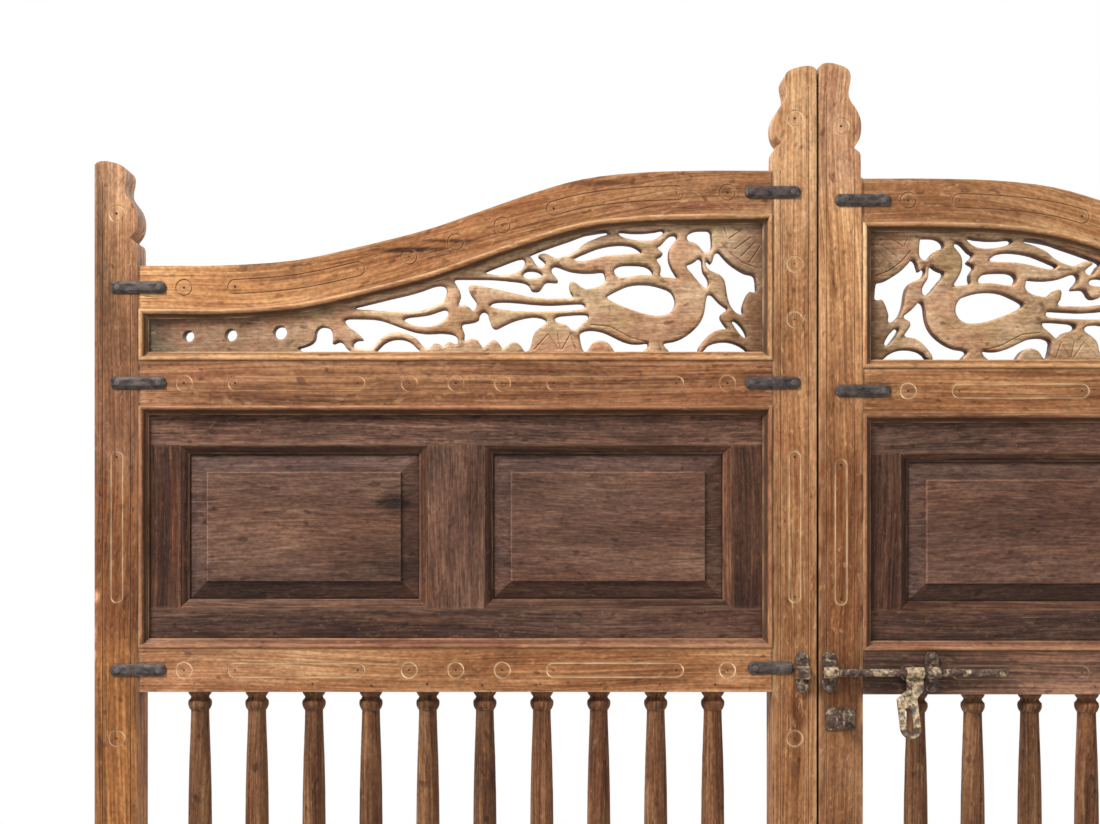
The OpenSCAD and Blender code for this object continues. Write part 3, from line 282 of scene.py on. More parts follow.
EDGE_SHARES = (0.12, 0.7)
# Reach and shares of the soiling and painted shade in hollows
HOLLOW_REACH = 0.016
HOLLOW_SHARES = (0.25, 0.8)
# Painted highlight on rounded edges leaning up or left, painted shade on those leaning down or right
RIM_RADIUS = 0.003
HIGHLIGHT_LEAN, SHADE_LEAN = (0.25, 0.7), (-0.2, -0.6)
LINE_FROM, LINE_TO, LINE_SOFT = FRONT + 0.0003, FRONT + 0.0019, 0.0002
LINE_CLEAN = 0.55
LINE_LEAST = 0.6
REEDS_FROM = (0.018, 0.020)
REED_SHARE = 0.1
WALL_LEAN = (0.12, 0.5)
HAIR_HEIGHT, PIT_HEIGHT, SPLIT_HEIGHT = 0.8, 0.4, 0.6
NOISE_SPAN = (0.3, 0.7)
TIMBER_ROUGH = (0.74, 0.58)

RING_TONE = tone(128, 86, 62)
WARM_TONE = tone(212, 150, 114)
SMEAR_TONE = tone(116, 86, 68)
SPOT_TONE = tone(96, 66, 48)
SPLIT_TONE = tone(58, 38, 26)
SPECK_TONE = tone(190, 168, 148)
JOINT_TONE = tone(64, 42, 30)
WALL_TONE = tone(138, 96, 72)
# Painted highlight and painted shade of the rounded edges
RIM_HIGHLIGHT = (3.2, 3.1, 3.0, 1)
RIM_SHADE = (0.2, 0.18, 0.17, 1)
# Tone of the soiling and painted shade laid in hollows and corners
GRIME_AND_SHADE_TONE = tone(44, 30, 21)
LINE_TONE = tone(252, 226, 186)


def grain_run(f, grain, parts, faces):
    """The place in the timber, with the grain along its first axis."""
    upright = f.add("CombineXYZ", {}, X=parts[2], Y=parts[1], Z=parts[0]).outputs[0]
    if grain == "x":
        return f.spot
    if grain == "z":
        return upright
    if grain == "neck":
        rise = f.step(f.size(parts[0]), *NECK_SPAN, NECK_RISE, 0.0, "SMOOTHSTEP")
        level = f.sum("SUBTRACT", parts[2], rise)
        return f.add("CombineXYZ", {}, X=parts[0], Y=parts[1], Z=level).outputs[0]
    choice = f.add("Mix", {"data_type": "VECTOR"})
    f.plug(choice.inputs[0], f.sum("GREATER_THAN", f.size(faces[0]), f.size(faces[2])))
    f.plug(choice.inputs[4], f.spot)
    f.plug(choice.inputs[5], upright)
    return choice.outputs[1]


def timber(name, grain, tones, seed, *, worn, fibre=4.0, contrast=1.0, lines=0.25, red=0.35,
           smudge=0.5, cracks=0.5, wear=0.6, rub=0.006, grime_and_shade=0.7, grime_and_shade_tone=GRIME_AND_SHADE_TONE, specks=0.0,
           grooves=0.0, scored=LINE_TONE, walls=0.0, edge=0.0011, cove_tone_and_shade=None, rims=0.0, reeded=None,
           joints=(), shifts=(), stains=(), slope_light_and_shade=(), tints=()):
    """Old timber with its grain along x, z, the swan-neck, or each strip of a moulding frame.

    shifts holds (axis, from, to, share, tone): a slow change of tone along one axis of the gate.
    stains holds (x, z, half width, half height, share, tone): one mark at its place on the gate.
    slopes holds (axis, from, to, share, tone): painted light and shade, a tone for the faces that lean along
    one axis.
    tints holds (seed, share, tone): soft patches. rims is the share of the painted highlight on edges facing
    up or left and of the painted shade on edges facing down or right.
    cove holds (from, to, share, tone): a tone for the depth of a moulding's hollow, partly its own darker
    colour and partly painted shade, lighter on faces that face up.
    joints holds the distances from the middle of the gate at which a joint shows as a dark line. grime and
    dirt are the share and tone of the darkening in hollows, partly soiling and partly painted shade.
    reeded is the middle of a stile, whose reeded lines stay dark; scored is the tone of the other lines."""
    dark, middle, pale = tones
    f = Finish(name)
    parts = f.add("SeparateXYZ", {}, Vector=f.spot).outputs
    faces = f.facing(f.add("NewGeometry").outputs["True Normal"])
    run = grain_run(f, grain, parts, faces)
    bent = f.add("VectorMath", {"operation": "ADD"})
    sway = f.swing(f.pattern(run, SWAY, (seed, seed, seed)), SWAY_WIDTH)
    f.plug(bent.inputs[0], run)
    f.plug(bent.inputs[1], f.add("CombineXYZ", {}, Z=sway).outputs[0])
    run = bent.outputs[0]

    # Grain, pits and year rings
    broad = f.pattern(run, BROAD, (seed * 3.1, seed, 0))
    streaks = f.pattern(run, STREAKS, (seed, seed * 1.7, 0))
    hairs = f.pattern(run, HAIRS._replace(repeats=(fibre, *HAIRS.repeats[1:])), (seed, seed, seed))
    blend = f.sum("ADD", f.times(broad, BROAD_SHARE), f.times(streaks, STREAK_SHARE))
    blend = f.sum("ADD", blend, f.times(hairs, HAIR_SHARE))
    spread = GRAIN_SPREAD / contrast
    colour = f.ramp(blend, [(0.5 - spread, dark), (0.5, middle), (0.5 + spread, pale)])
    pits = f.pattern(run, PITS, (seed, 0, 0))
    colour = f.shade(colour, 1.0, f.step(pits, PITS.low, PITS.high, *PIT_TONES))
    wave = f.add(
        "TexWave", {"bands_direction": "Z", "wave_profile": "SAW"},
        Vector=f.stretch(run, RING_RUN, (seed, 0, seed * 0.37)), **RING_WAVE,
    ).outputs["Fac"]
    rings = f.times(f.step(wave, RING_FROM, 1.0), f.patches(run, RING_PLACES, (seed * 2, 0, seed)))
    colour = f.shade(colour, f.times(rings, lines), RING_TONE)

    # Changes of tone over the piece, and painted light and shade on faces by the way they lean
    colour = f.shade(colour, f.times(f.patches(run, WARM, (seed * 5, 0, 0)), red), WARM_TONE)
    for axis, low, high, share, shade in shifts:
        place = f.size(parts["xyz".index(axis)])
        place = f.sum("ADD", place, f.swing(broad, SHIFT_RAGGED * abs(high - low)))
        colour = f.shade(colour, f.slide(place, low, high, share), shade)
    # Painted light and shade: faces that lean one way made lighter or darker
    for axis, low, high, share, shade in slope_light_and_shade:
        colour = f.shade(colour, f.slide(faces["xyz".index(axis)], low, high, share), shade)
    for place, share, shade in tints:
        colour = f.shade(colour, f.patches(f.spot, TINTED, (place, 0, seed), 0.0, share), shade)
    for x, z, wide, high, share, shade in stains:
        away = f.length(f.add(
            "CombineXYZ", {}, X=f.sum("DIVIDE", f.sum("SUBTRACT", parts[0], x), wide),
            Z=f.sum("DIVIDE", f.sum("SUBTRACT", parts[2], z), high),
        ).outputs[0])
        away = f.sum("ADD", away, f.swing(streaks, STAIN_RAGGED))
        colour = f.shade(colour, f.step(away, STAIN_CORE, 1.0, share, 0.0), shade)

    # Smears, spots, splits, scuffs and specks
    colour = f.shade(colour, f.times(f.patches(run, SMEARS, (seed, 2 * seed, 0)), smudge), SMEAR_TONE)
    colour = f.shade(colour, f.times(f.patches(run, SPOTS, (0, seed, 0)), SPOT_SHARE), SPOT_TONE)
    colour = f.cover(colour, f.times(f.patches(run, DABS, (seed, seed, 0)), DAB_SHARE * wear), worn)
    split = f.step(f.apart(f.pattern(run, SPLITS, (seed * 7, 0, seed)), 0.5), 0.0, SPLIT_WIDTH, 1.0, 0.0)
    split = f.times(split, f.patches(run, SPLIT_PLACES, (seed, seed, 0)))
    colour = f.shade(colour, f.times(split, cracks), SPLIT_TONE)
    turned = f.add("Mapping", {}, Vector=run, Rotation=(0.0, SCUFF_TURN, 0.0), Scale=SCUFFS.repeats).outputs[0]
    scuffs = f.step(f.noise(turned, SCUFFS.octaves, SCUFFS.rough), SCUFFS.low, SCUFFS.high)
    scuffs = f.times(scuffs, f.patches(run, SCUFF_PLACES, (0, 0, seed)))
    colour = f.cover(colour, f.times(scuffs, SCUFF_SHARE), worn)
    if specks:
        dots = f.patches(f.spot, SPECKS, (seed, 0, 0))
        colour = f.cover(colour, f.times(dots, specks), SPECK_TONE)

    # Hollows darkened with soiling and painted shade, the cove's tone with painted shade, joints, rubbed
    # edges, painted highlight and shade on rounded edges, and engraved lines
    # The cove's own darker tone, with painted shade on its faces that face down or sideways
    if cove_tone_and_shade:
        start, end, share, shade = cove_tone_and_shade
        depth = f.times(f.step(parts[1], start, end), f.step(faces[2], *COVE_LEAN, share, COVE_LEAST))
        colour = f.cover(colour, depth, shade)
    for place in joints:
        near = f.sum("SUBTRACT", f.apart(f.size(parts[0]), place), f.times(streaks, JOINT_RAGGED))
        near = f.step(near, *JOINT_REACH, JOINT_SHARE, 0.0)
        colour = f.shade(colour, f.times(near, f.step(faces[1], *AHEAD, 1.0, 0.0)), JOINT_TONE)
    rubbed = f.patches(run, RUBBED, (seed, 0, 0), RUBBED_LEAST, 1.0)
    edges = f.times(f.step(f.hollows(rub, inside=True), *EDGE_SHARES), rubbed)
    colour = f.cover(colour, f.sum("MULTIPLY", edges, wear, clamp=True), worn)
    # Darker in hollows and corners within reach: soiling, and painted shade where shade falls
    hollow_grime_and_shade = f.times(f.step(f.hollows(HOLLOW_REACH), *HOLLOW_SHARES), grime_and_shade)
    # Painted highlight on edges facing up or left, painted shade on edges facing down or right
    if rims:
        rounded = f.facing(f.softened(RIM_RADIUS))
        lean = f.sum("SUBTRACT", rounded[2], rounded[0])
        colour = f.shade(colour, f.slide(lean, *HIGHLIGHT_LEAN, rims), RIM_HIGHLIGHT)
        colour = f.shade(colour, f.slide(lean, *SHADE_LEAN, rims), RIM_SHADE)
    if grooves:
        cut = f.band(parts[1], LINE_FROM, LINE_TO, LINE_SOFT)
        hollow_grime_and_shade = f.times(hollow_grime_and_shade, f.rest(f.times(cut, LINE_CLEAN)))
        cut = f.times(cut, f.step(rubbed, RUBBED_LEAST, 1.0, LINE_LEAST, 1.0))
        if reeded:
            beside = f.apart(f.size(parts[0]), reeded)
            cut = f.times(cut, f.step(beside, *REEDS_FROM, 1.0, REED_SHARE))
        colour = f.cover(colour, f.times(cut, grooves), scored)
        hollow_grime_and_shade = f.times(hollow_grime_and_shade, f.rest(cut))
    # Lay the soiling and painted shade in the hollows, less of it in the engraved lines
    colour = f.cover(colour, hollow_grime_and_shade, grime_and_shade_tone)
    if walls:
        colour = f.shade(colour, f.step(f.size(faces[1]), *WALL_LEAN, walls, 0.0), WALL_TONE)

    height = f.sum("ADD", f.times(hairs, HAIR_HEIGHT), f.times(pits, PIT_HEIGHT))
    height = f.sum("SUBTRACT", height, f.times(split, SPLIT_HEIGHT))
    rough = f.step(hairs, *NOISE_SPAN, *TIMBER_ROUGH)
    return f.surface(colour, rough, height, depth=0.0015, strength=0.6, edge=edge, specular=0.2)


# Patterns of the iron
DENTS = Pattern((70, 70, 110), 6.0, 0.68, 0.36, 0.66)
GRIT = Pattern((700, 700, 700), 3.0, 0.6, 0.35, 0.65)
RUST = Pattern((40, 40, 40), 5.0, 0.65, 0.50, 0.68)
RUBBED_IRON = Pattern((26, 26, 60), 4.0, 0.6, 0.58, 0.70)
CRUST = Pattern((170, 170, 170), 7.0, 0.72, 0.36, 0.46)
LUMPS = Pattern((60, 60, 60), 3.0, 0.6, 0.4, 0.6)
PAINT_HUES = Pattern((64, 64, 64), 2.0, 0.5)
PAINT_COAT = Pattern((46, 46, 42), 6.0, 0.62, 0.60, 0.65)

RUST_SHARE, GREY_SHARE, IRON_EDGE_SHARE = 0.4, 0.5, 0.35
IRON_EDGE = 0.003
IRON_EDGE_SHARES = (0.25, 0.7)
IRON_METAL = 0.15
IRON_DULLER = 0.18
GRIT_HEIGHT = 0.3
LUMP_SHARE = 0.6
PAINT_LEAST = 0.55
PAINT_GRIME_SHARE = 0.8
PAINT_HEIGHT = 0.9
# Reach and shares of the soiling and painted shade in the iron's hollows
IRON_HOLLOW = 0.010
IRON_HOLLOW_SHARES = (0.3, 0.9)
IRON_GRIME_AND_SHADE_SHARE = 0.6
CRUST_ROUGH = (0.88, 0.66)

RUST_TONE = tone(84, 58, 46)
GREY_TONE = tone(128, 116, 112)
IRON_EDGE_TONE = tone(124, 116, 112)
# Tone of the soiling and painted shade in the iron's hollows
IRON_GRIME_AND_SHADE = tone(40, 30, 25)
LUMP_TONE = tone(150, 124, 116)
CRUST_TONES = [(0.34, tone(60, 47, 41)), (0.5, tone(98, 79, 68)), (0.64, tone(142, 120, 104))]
PAINT_TONES = [
    (0.30, tone(104, 104, 114)), (0.37, tone(178, 154, 124)), (0.46, tone(226, 201, 164)),
    (0.57, tone(210, 184, 146)), (0.63, tone(168, 156, 128)), (0.69, tone(112, 136, 112)),
]
PAINT_GRIME = [(0.36, tone(110, 92, 76)), (0.62, tone(255, 255, 255))]


def forged_iron(name, dark, pale, seed, shine, edge=0.0012):
    """Blackened strap iron, rubbed grey on its high spots."""
    f = Finish(name)
    dents = f.pattern(f.spot, DENTS, (seed, 0, 0))
    grit = f.pattern(f.spot, GRIT)
    colour = f.ramp(dents, [(DENTS.low, dark), (DENTS.high, pale)])
    colour = f.cover(colour, f.times(f.patches(f.spot, RUST, (0, seed, 0)), RUST_SHARE), RUST_TONE)
    rubbed = f.patches(f.spot, RUBBED_IRON, (seed, seed, 0))
    colour = f.cover(colour, f.times(rubbed, GREY_SHARE), GREY_TONE)
    edges = f.step(f.hollows(IRON_EDGE, inside=True), *IRON_EDGE_SHARES)
    edges = f.times(edges, f.step(grit, GRIT.low, GRIT.high))
    colour = f.cover(colour, f.times(edges, IRON_EDGE_SHARE), IRON_EDGE_TONE)
    height = f.sum("ADD", dents, f.times(grit, GRIT_HEIGHT))
    rough = f.step(dents, *NOISE_SPAN, shine + IRON_DULLER, shine)
    f.skin.inputs["Metallic"].default_value = IRON_METAL
    return f.surface(colour, rough, height, depth=0.0014, strength=0.7, edge=edge, specular=0.3)


def flaking_iron(name, paint_share, seed):
    """Brown crusted iron under remains of cream, ochre, green and blue-grey paint, darker in its hollows with
    soiling and painted shade.
    """
    f = Finish(name)
    crust = f.pattern(f.spot, CRUST, (seed, 0, 0))
    lump = f.pattern(f.spot, LUMPS, (0, seed, seed))
    colour = f.ramp(crust, CRUST_TONES)
    colour = f.shade(colour, f.step(lump, LUMPS.low, LUMPS.high, LUMP_SHARE, 0.0), LUMP_TONE)
    paint = f.ramp(f.pattern(f.spot, PAINT_HUES, (0, seed * 3, 0)), PAINT_TONES)
    coat = f.pattern(f.spot, PAINT_COAT, (seed, seed, 0))
    left = f.step(coat, PAINT_COAT.low - paint_share, PAINT_COAT.high - paint_share)
    left = f.times(left, f.step(crust, CRUST.low, CRUST.high, PAINT_LEAST, 1.0))
    colour = f.cover(colour, left, f.shade(paint, PAINT_GRIME_SHARE, f.ramp(crust, PAINT_GRIME)))
    # Darker in hollows: soiling and painted shade
    hollow_grime_and_shade = f.step(f.hollows(IRON_HOLLOW), *IRON_HOLLOW_SHARES)
    colour = f.cover(colour, f.times(hollow_grime_and_shade, IRON_GRIME_AND_SHADE_SHARE), IRON_GRIME_AND_SHADE)
    height = f.sum("ADD", f.times(left, PAINT_HEIGHT), f.sum("ADD", crust, lump))
    rough = f.step(crust, *NOISE_SPAN, *CRUST_ROUGH)
    return f.surface(colour, rough, height, depth=0.0013, strength=0.9, edge=0.0014, specular=0.25)


# Dark, middle and pale tones of each timber
HONEY = (tone(118, 74, 42), tone(164, 114, 74), tone(208, 160, 112))
GOLDEN = (tone(138, 88, 48), tone(182, 128, 82), tone(216, 168, 116))
RUSSET = (tone(72, 43, 26), tone(118, 77, 51), tone(162, 114, 82))
TAWNY = (tone(98, 60, 36), tone(152, 104, 70), tone(198, 148, 106))
STAINED = (tone(50, 35, 29), tone(102, 74, 60), tone(154, 117, 94))
BROWNED = (tone(42, 29, 24), tone(88, 63, 52), tone(138, 104, 84))
UMBER = (tone(36, 21, 14), tone(68, 42, 30), tone(106, 72, 52))
MUNTIN = (tone(46, 32, 26), tone(94, 68, 55), tone(142, 107, 86))
FIELD = (tone(58, 40, 31), tone(101, 73, 59), tone(142, 107, 86))
CARVED = (tone(156, 121, 90), tone(208, 173, 137), tone(238, 212, 177))
TURNED = (tone(66, 40, 23), tone(112, 75, 49), tone(158, 116, 80))
BEADED = (tone(150, 98, 56), tone(200, 148, 100), tone(232, 190, 142))
BROWN_BEADED = (tone(106, 64, 40), tone(152, 104, 74), tone(198, 150, 112))

hanging_timber = timber(
    "weathered_stile_timber", "z", RUSSET, 1.3, worn=tone(196, 148, 108), rub=0.008,
    joints=JOINTS[1:], grooves=0.8, reeded=JOINTS[1] + STILE / 2,
    shifts=[
        ("z", 1.16, 1.34, 1.0, (1.85, 2.15, 2.15, 1)), ("z", 1.42, 1.50, 0.8, (1.05, 1.15, 1.3, 1)),
        ("z", 1.06, 0.99, 1.0, (0.82, 0.66, 0.48, 1)), ("z", 0.77, 0.71, 1.0, (2.15, 2.55, 2.35, 1)),
    ],
    stains=[
        (-OUTER, 0.822, 0.012, 0.016, 1.0, (3.4, 4.6, 6.4, 1)),
        (-OUTER, 0.765, 0.008, 0.022, 0.9, (2.2, 2.8, 3.6, 1)),
        (-OUTER, 0.725, 0.007, 0.012, 0.9, (2.2, 2.6, 3.2, 1)),
        (-1.13, 0.90, 0.008, 0.10, 0.6, (0.6, 0.5, 0.45, 1)),
    ],
)
left_meeting_timber = timber(
    "left_meeting_stile_timber", "z", HONEY, 4.1, worn=tone(226, 180, 130), wear=0.85, rub=0.010,
    joints=JOINTS[:1], grooves=0.8, reeded=GAP + STILE / 2,
    shifts=[("z", 1.28, 1.42, 0.9, (1.42, 1.62, 1.85, 1)), ("z", 1.20, 1.08, 1.0, (0.85, 0.8, 0.76, 1))],
    stains=[(-0.03, 0.64, 0.03, 0.05, 0.6, tone(170, 140, 124))],
)
right_meeting_timber = timber(
    "right_meeting_stile_timber", "z", HONEY, 17.2, worn=tone(222, 172, 122), wear=0.85, rub=0.010,
    joints=JOINTS[:1], grooves=0.8, reeded=GAP + STILE / 2,
    shifts=[
        ("z", 1.12, 1.22, 1.0, (1.42, 1.5, 1.55, 1)), ("z", 1.44, 1.52, 0.9, (0.72, 0.7, 0.84, 1)),
        ("z", 1.10, 1.03, 1.0, (0.58, 0.46, 0.38, 1)), ("z", 0.78, 0.70, 1.0, (1.05, 1.2, 1.4, 1)),
    ],
    stains=[(0.04, 0.66, 0.05, 0.07, 0.7, tone(176, 146, 128))],
)
neck_timber = timber(
    "swan_neck_timber", "neck", GOLDEN, 7.7, worn=tone(226, 184, 136), joints=JOINTS,
    grooves=0.75, scored=tone(182, 126, 82), cracks=0.7,
    shifts=[("x", 0.6, 0.2, 0.7, tone(200, 190, 198)), ("x", 0.7, 1.0, 0.7, (1.35, 1.4, 1.4, 1))],
    stains=[
        (-0.665, 1.39, 0.09, 0.006, 0.9, tone(70, 50, 40)), (-0.60, 1.405, 0.06, 0.004, 0.8, tone(80, 60, 48)),
        (-0.36, 1.5, 0.09, 0.006, 0.6, tone(120, 90, 76)), (-0.2, 1.463, 0.16, 0.01, 0.6, tone(190, 150, 160)),
    ],
)
lock_timber = timber(
    "lock_rail_timber", "x", TAWNY, 2.9, worn=tone(214, 164, 118), joints=JOINTS,
    grooves=0.85, scored=tone(240, 194, 148), shifts=[("x", 0.80, 0.95, 0.8, (0.84, 0.78, 0.8, 1))],
)
lower_timber = timber(
    "lower_rail_timber", "x", HONEY, 9.2, worn=tone(222, 176, 130), joints=JOINTS, grooves=0.95,
    shifts=[("x", 0.75, 0.95, 0.9, (1.15, 1.22, 1.4, 1))],
)
brown_timber = timber(
    "brown_rail_timber", "x", BROWNED, 14.6, worn=tone(170, 128, 98), joints=JOINTS, grooves=0.4,
    shifts=[("x", 0.2, 0.32, 0.8, (2.2, 2.1, 1.9, 1))],
)
bead_timber = timber(
    "bead_timber", "frame", BEADED, 5.5, worn=tone(240, 200, 154), lines=0.2, wear=0.8, grime_and_shade=0.8,
    # The cove is darker, partly the bead's own tone and partly painted shade
    cove_tone_and_shade=(-0.0272, -0.0238, 0.9, tone(70, 49, 34)),
)
brown_bead_timber = timber(
    "brown_bead_timber", "frame", BROWN_BEADED, 15.5, worn=tone(214, 162, 116), lines=0.2, wear=0.7,
    # The cove is darker, partly the bead's own tone and partly painted shade
    grime_and_shade=0.85, cove_tone_and_shade=(-0.0276, -0.0240, 0.88, tone(60, 38, 26)),
    # Painted shade on strips leaning down, and a darker, pinker tone on strips leaning up
    slope_light_and_shade=[("z", -0.1, -0.5, 0.9, (0.6, 0.52, 0.44, 1)), ("z", 0.1, 0.5, 0.9, (0.76, 0.68, 0.78, 1))],
)
carved_timber = timber(
    "carved_timber", "x", CARVED, 3.6, worn=tone(232, 200, 160), fibre=16.0, contrast=0.6, lines=0.1,
    red=0.2, smudge=0.25, cracks=0.3, wear=0.5, grime_and_shade=0.65, grime_and_shade_tone=tone(92, 74, 56), walls=0.8, edge=0.0005,
    tints=[(2.0, 0.7, tone(222, 226, 204)), (7.0, 0.6, tone(236, 206, 194)), (12.0, 0.5, tone(214, 200, 196))],
    # Painted highlight on faces leaning up and painted shade on faces leaning down
    slope_light_and_shade=[("z", 0.25, 0.8, 0.8, (1.55, 1.5, 1.42, 1)), ("z", -0.3, -0.8, 0.8, (0.5, 0.42, 0.4, 1))],
    shifts=[
        ("x", 0.17, 0.09, 0.85, tone(134, 115, 107)), ("x", 0.72, 0.95, 0.8, tone(184, 172, 172)),
        ("x", 1.04, 1.09, 0.8, tone(150, 178, 190)),
    ],
)
level_stain = timber(
    "dark_rail_timber", "x", STAINED, 6.4, worn=tone(160, 122, 98), fibre=18.0, contrast=0.95, wear=0.5,
    grime_and_shade_tone=tone(30, 21, 17), specks=0.25, shifts=[("z", 0.9, 0.8, 0.9, tone(176, 170, 172))],
    stains=[
        (-0.98, 1.112, 0.07, 0.02, 0.6, tone(96, 84, 84)), (-1.02, 0.77, 0.09, 0.03, 0.5, tone(96, 84, 84)),
        (-0.62, 1.105, 0.13, 0.009, 0.8, (1.7, 1.6, 1.5, 1)),
        (-0.66, 0.782, 0.16, 0.008, 0.8, (1.9, 1.8, 1.6, 1)),
    ],
)
upright_stain = timber(
    "dark_stile_timber", "z", UMBER, 8.8, worn=tone(150, 106, 78), fibre=6.0, wear=0.5,
    grime_and_shade_tone=tone(28, 19, 14), red=0.2, specks=0.15,
    stains=[(-1.058, 0.95, 0.009, 0.12, 0.9, (2.4, 1.9, 1.5, 1))],
)
muntin_stain = timber(
    "muntin_timber", "z", MUNTIN, 10.4, worn=tone(156, 118, 92), fibre=14.0, contrast=0.9, wear=0.4,
    grime_and_shade_tone=tone(30, 21, 17), specks=0.2,
)
field_stain = timber(
    "raised_panel_timber", "x", FIELD, 11.9, worn=tone(160, 126, 104), fibre=26.0, contrast=0.75,
    lines=0.15, smudge=0.35, wear=0.3, rub=0.004, grime_and_shade_tone=tone(26, 18, 14), specks=0.1, grime_and_shade=0.85,
    # Painted highlight and shade on the rounded edges
    edge=0.0016, rims=0.9,
    stains=[
        (-0.695, 0.977, 0.035, 0.026, 0.9, tone(96, 84, 88)),
        (-1.02, 0.985, 0.04, 0.012, 0.5, tone(130, 112, 106)),
        (-0.84, 0.93, 0.16, 0.045, 0.6, (1.35, 1.3, 1.2, 1)),
        (-0.62, 0.875, 0.2, 0.012, 0.5, tone(150, 130, 120)),
    ],
    # Painted shade on the bevels by the way they lean, deepest on faces leaning down
    slope_light_and_shade=[
        ("z", -0.03, -0.08, 0.95, (0.46, 0.42, 0.4, 1)), ("x", 0.03, 0.08, 0.9, (0.7, 0.68, 0.7, 1)),
        ("z", 0.03, 0.08, 0.9, (0.7, 0.72, 0.82, 1)), ("x", -0.03, -0.08, 0.9, (0.76, 0.78, 0.88, 1)),
    ],
)
field_bead_timber = timber(
    "panel_bead_timber", "frame", UMBER, 12.3, worn=tone(160, 118, 88), wear=0.45, grime_and_shade_tone=tone(28, 18, 13),
    # Painted highlight on faces leaning left and on faces leaning up
    slope_light_and_shade=[("x", -0.2, -0.5, 0.8, (2.0, 1.95, 1.85, 1)), ("z", 0.2, 0.5, 0.8, (1.7, 1.8, 1.9, 1))],
)
turned_timber = timber("turned_timber", "z", TURNED, 13.7, worn=tone(180, 138, 100), wear=0.5)
strap_iron = forged_iron("strap_iron", tone(32, 26, 24), tone(98, 87, 83), 1.0, 0.5, edge=0.003)
nail_iron = forged_iron("nail_iron", tone(52, 43, 40), tone(108, 98, 94), 3.0, 0.5)
hinge_iron = forged_iron("hinge_iron", tone(46, 37, 33), tone(94, 81, 74), 5.0, 0.55)
screw_iron = forged_iron("screw_iron", tone(66, 54, 48), tone(132, 116, 106), 2.2, 0.5)
prick_iron = forged_iron("prick_iron", tone(24, 15, 10), tone(52, 34, 24), 8.0, 0.8)
bolt_iron = flaking_iron("bolt_iron", 0.10, 1.7)
guide_iron = flaking_iron("guide_iron", 0.09, 4.4)
hasp_paint = flaking_iron("hasp_paint", 0.17, 6.2)


def finish_node(name, material):
    """Puts one finish on a carried-over piece."""
    mesh = nodes[name].data
    mesh.materials.clear()
    mesh.materials.append(material)


for side in LEAVES:
    for piece, material in {
        "hanging_stile": hanging_timber,
        "top_rail": neck_timber,
        "lock_rail": lock_timber,
        "lower_rail": lower_timber,
        "bottom_rail": lower_timber,
        "carved_panel": carved_timber,
        "carving_beads": bead_timber,
        "panel_beads": brown_bead_timber,
        "inner_top_rail": level_stain,
        "inner_bottom_rail": level_stain,
        "inner_hanging_stile": upright_stain,
        "inner_meeting_stile": upright_stain,
        "muntin": muntin_stain,
        "raised_panel_outer": field_stain,
        "raised_panel_inner": field_stain,
        "raised_beads": field_bead_timber,
        "balusters": turned_timber,
        "straps": strap_iron,
        "strap_nails": nail_iron,
        "hinge_leaf_flaps": hinge_iron,
        "hinge_screws": nail_iron,
        "hinge_fixed_flaps": hinge_iron,
        "hinge_pins": nail_iron,
    }.items():
        finish_node(f"{side}_{piece}", material)
for piece, material in {
    "left_meeting_stile": left_meeting_timber,
    "right_meeting_stile": right_meeting_timber,
    "right_lower_rail": brown_timber,
    "right_lock_rail": lower_timber,
    "bolt_rod": bolt_iron,
    "bolt_hasp": hasp_paint,
    "bolt_keeper": guide_iron,
    "bolt_guides": guide_iron,
    "bolt_staple": guide_iron,
    "keeper_screws": screw_iron,
    "guide_screws": screw_iron,
}.items():
    finish_node(piece, material)


# Swan-neck: shares of the clear width from the hanging stile, and of the rise
NECK = [
    (0.06, 0), (0.13, 0.003), (0.25, 0.06), (0.37, 0.235), (0.46, 0.39), (0.54, 0.575), (0.62, 0.76),
    (0.70, 0.91), (0.79, 0.98), (0.89, 1), (0.95, 1),
]
NECK_HALVINGS = 24
NECK_BORDER = 0.0045


def neck_height(leaf, x):
    """Height of the swan-neck's lower edge at a distance from the meeting edge."""
    foot = CARVING_Z[leaf] + NECK_LOW
    share = (STILE + CLEAR - x) / CLEAR
    if share <= NECK[0][0]:
        return foot
    if share >= NECK[-1][0]:
        return foot + NECK_RISE
    last = len(NECK) - 1
    i = max(n for n in range(last) if NECK[n][0] <= share)
    before, first, second, after = (Vector(NECK[max(0, min(last, n))]) for n in (i - 1, i, i + 1, i + 2))
    low, high = 0.0, 1.0
    for _ in range(NECK_HALVINGS):
        t = (low + high) / 2
        spot = first + t * (second - before) / 2
        spot += t * t * (before - 2.5 * first + 2 * second - after / 2)
        spot += t ** 3 * (1.5 * (first - second) + (after - before) / 2)
        low, high = (t, high) if spot.x < share else (low, t)
    return foot + NECK_RISE * spot.y


def under_neck(leaf, spot):
    """Whether a spot of the carving is on its upper border."""
    return spot.z > neck_height(leaf, abs(spot.x) - GAP) - NECK_BORDER


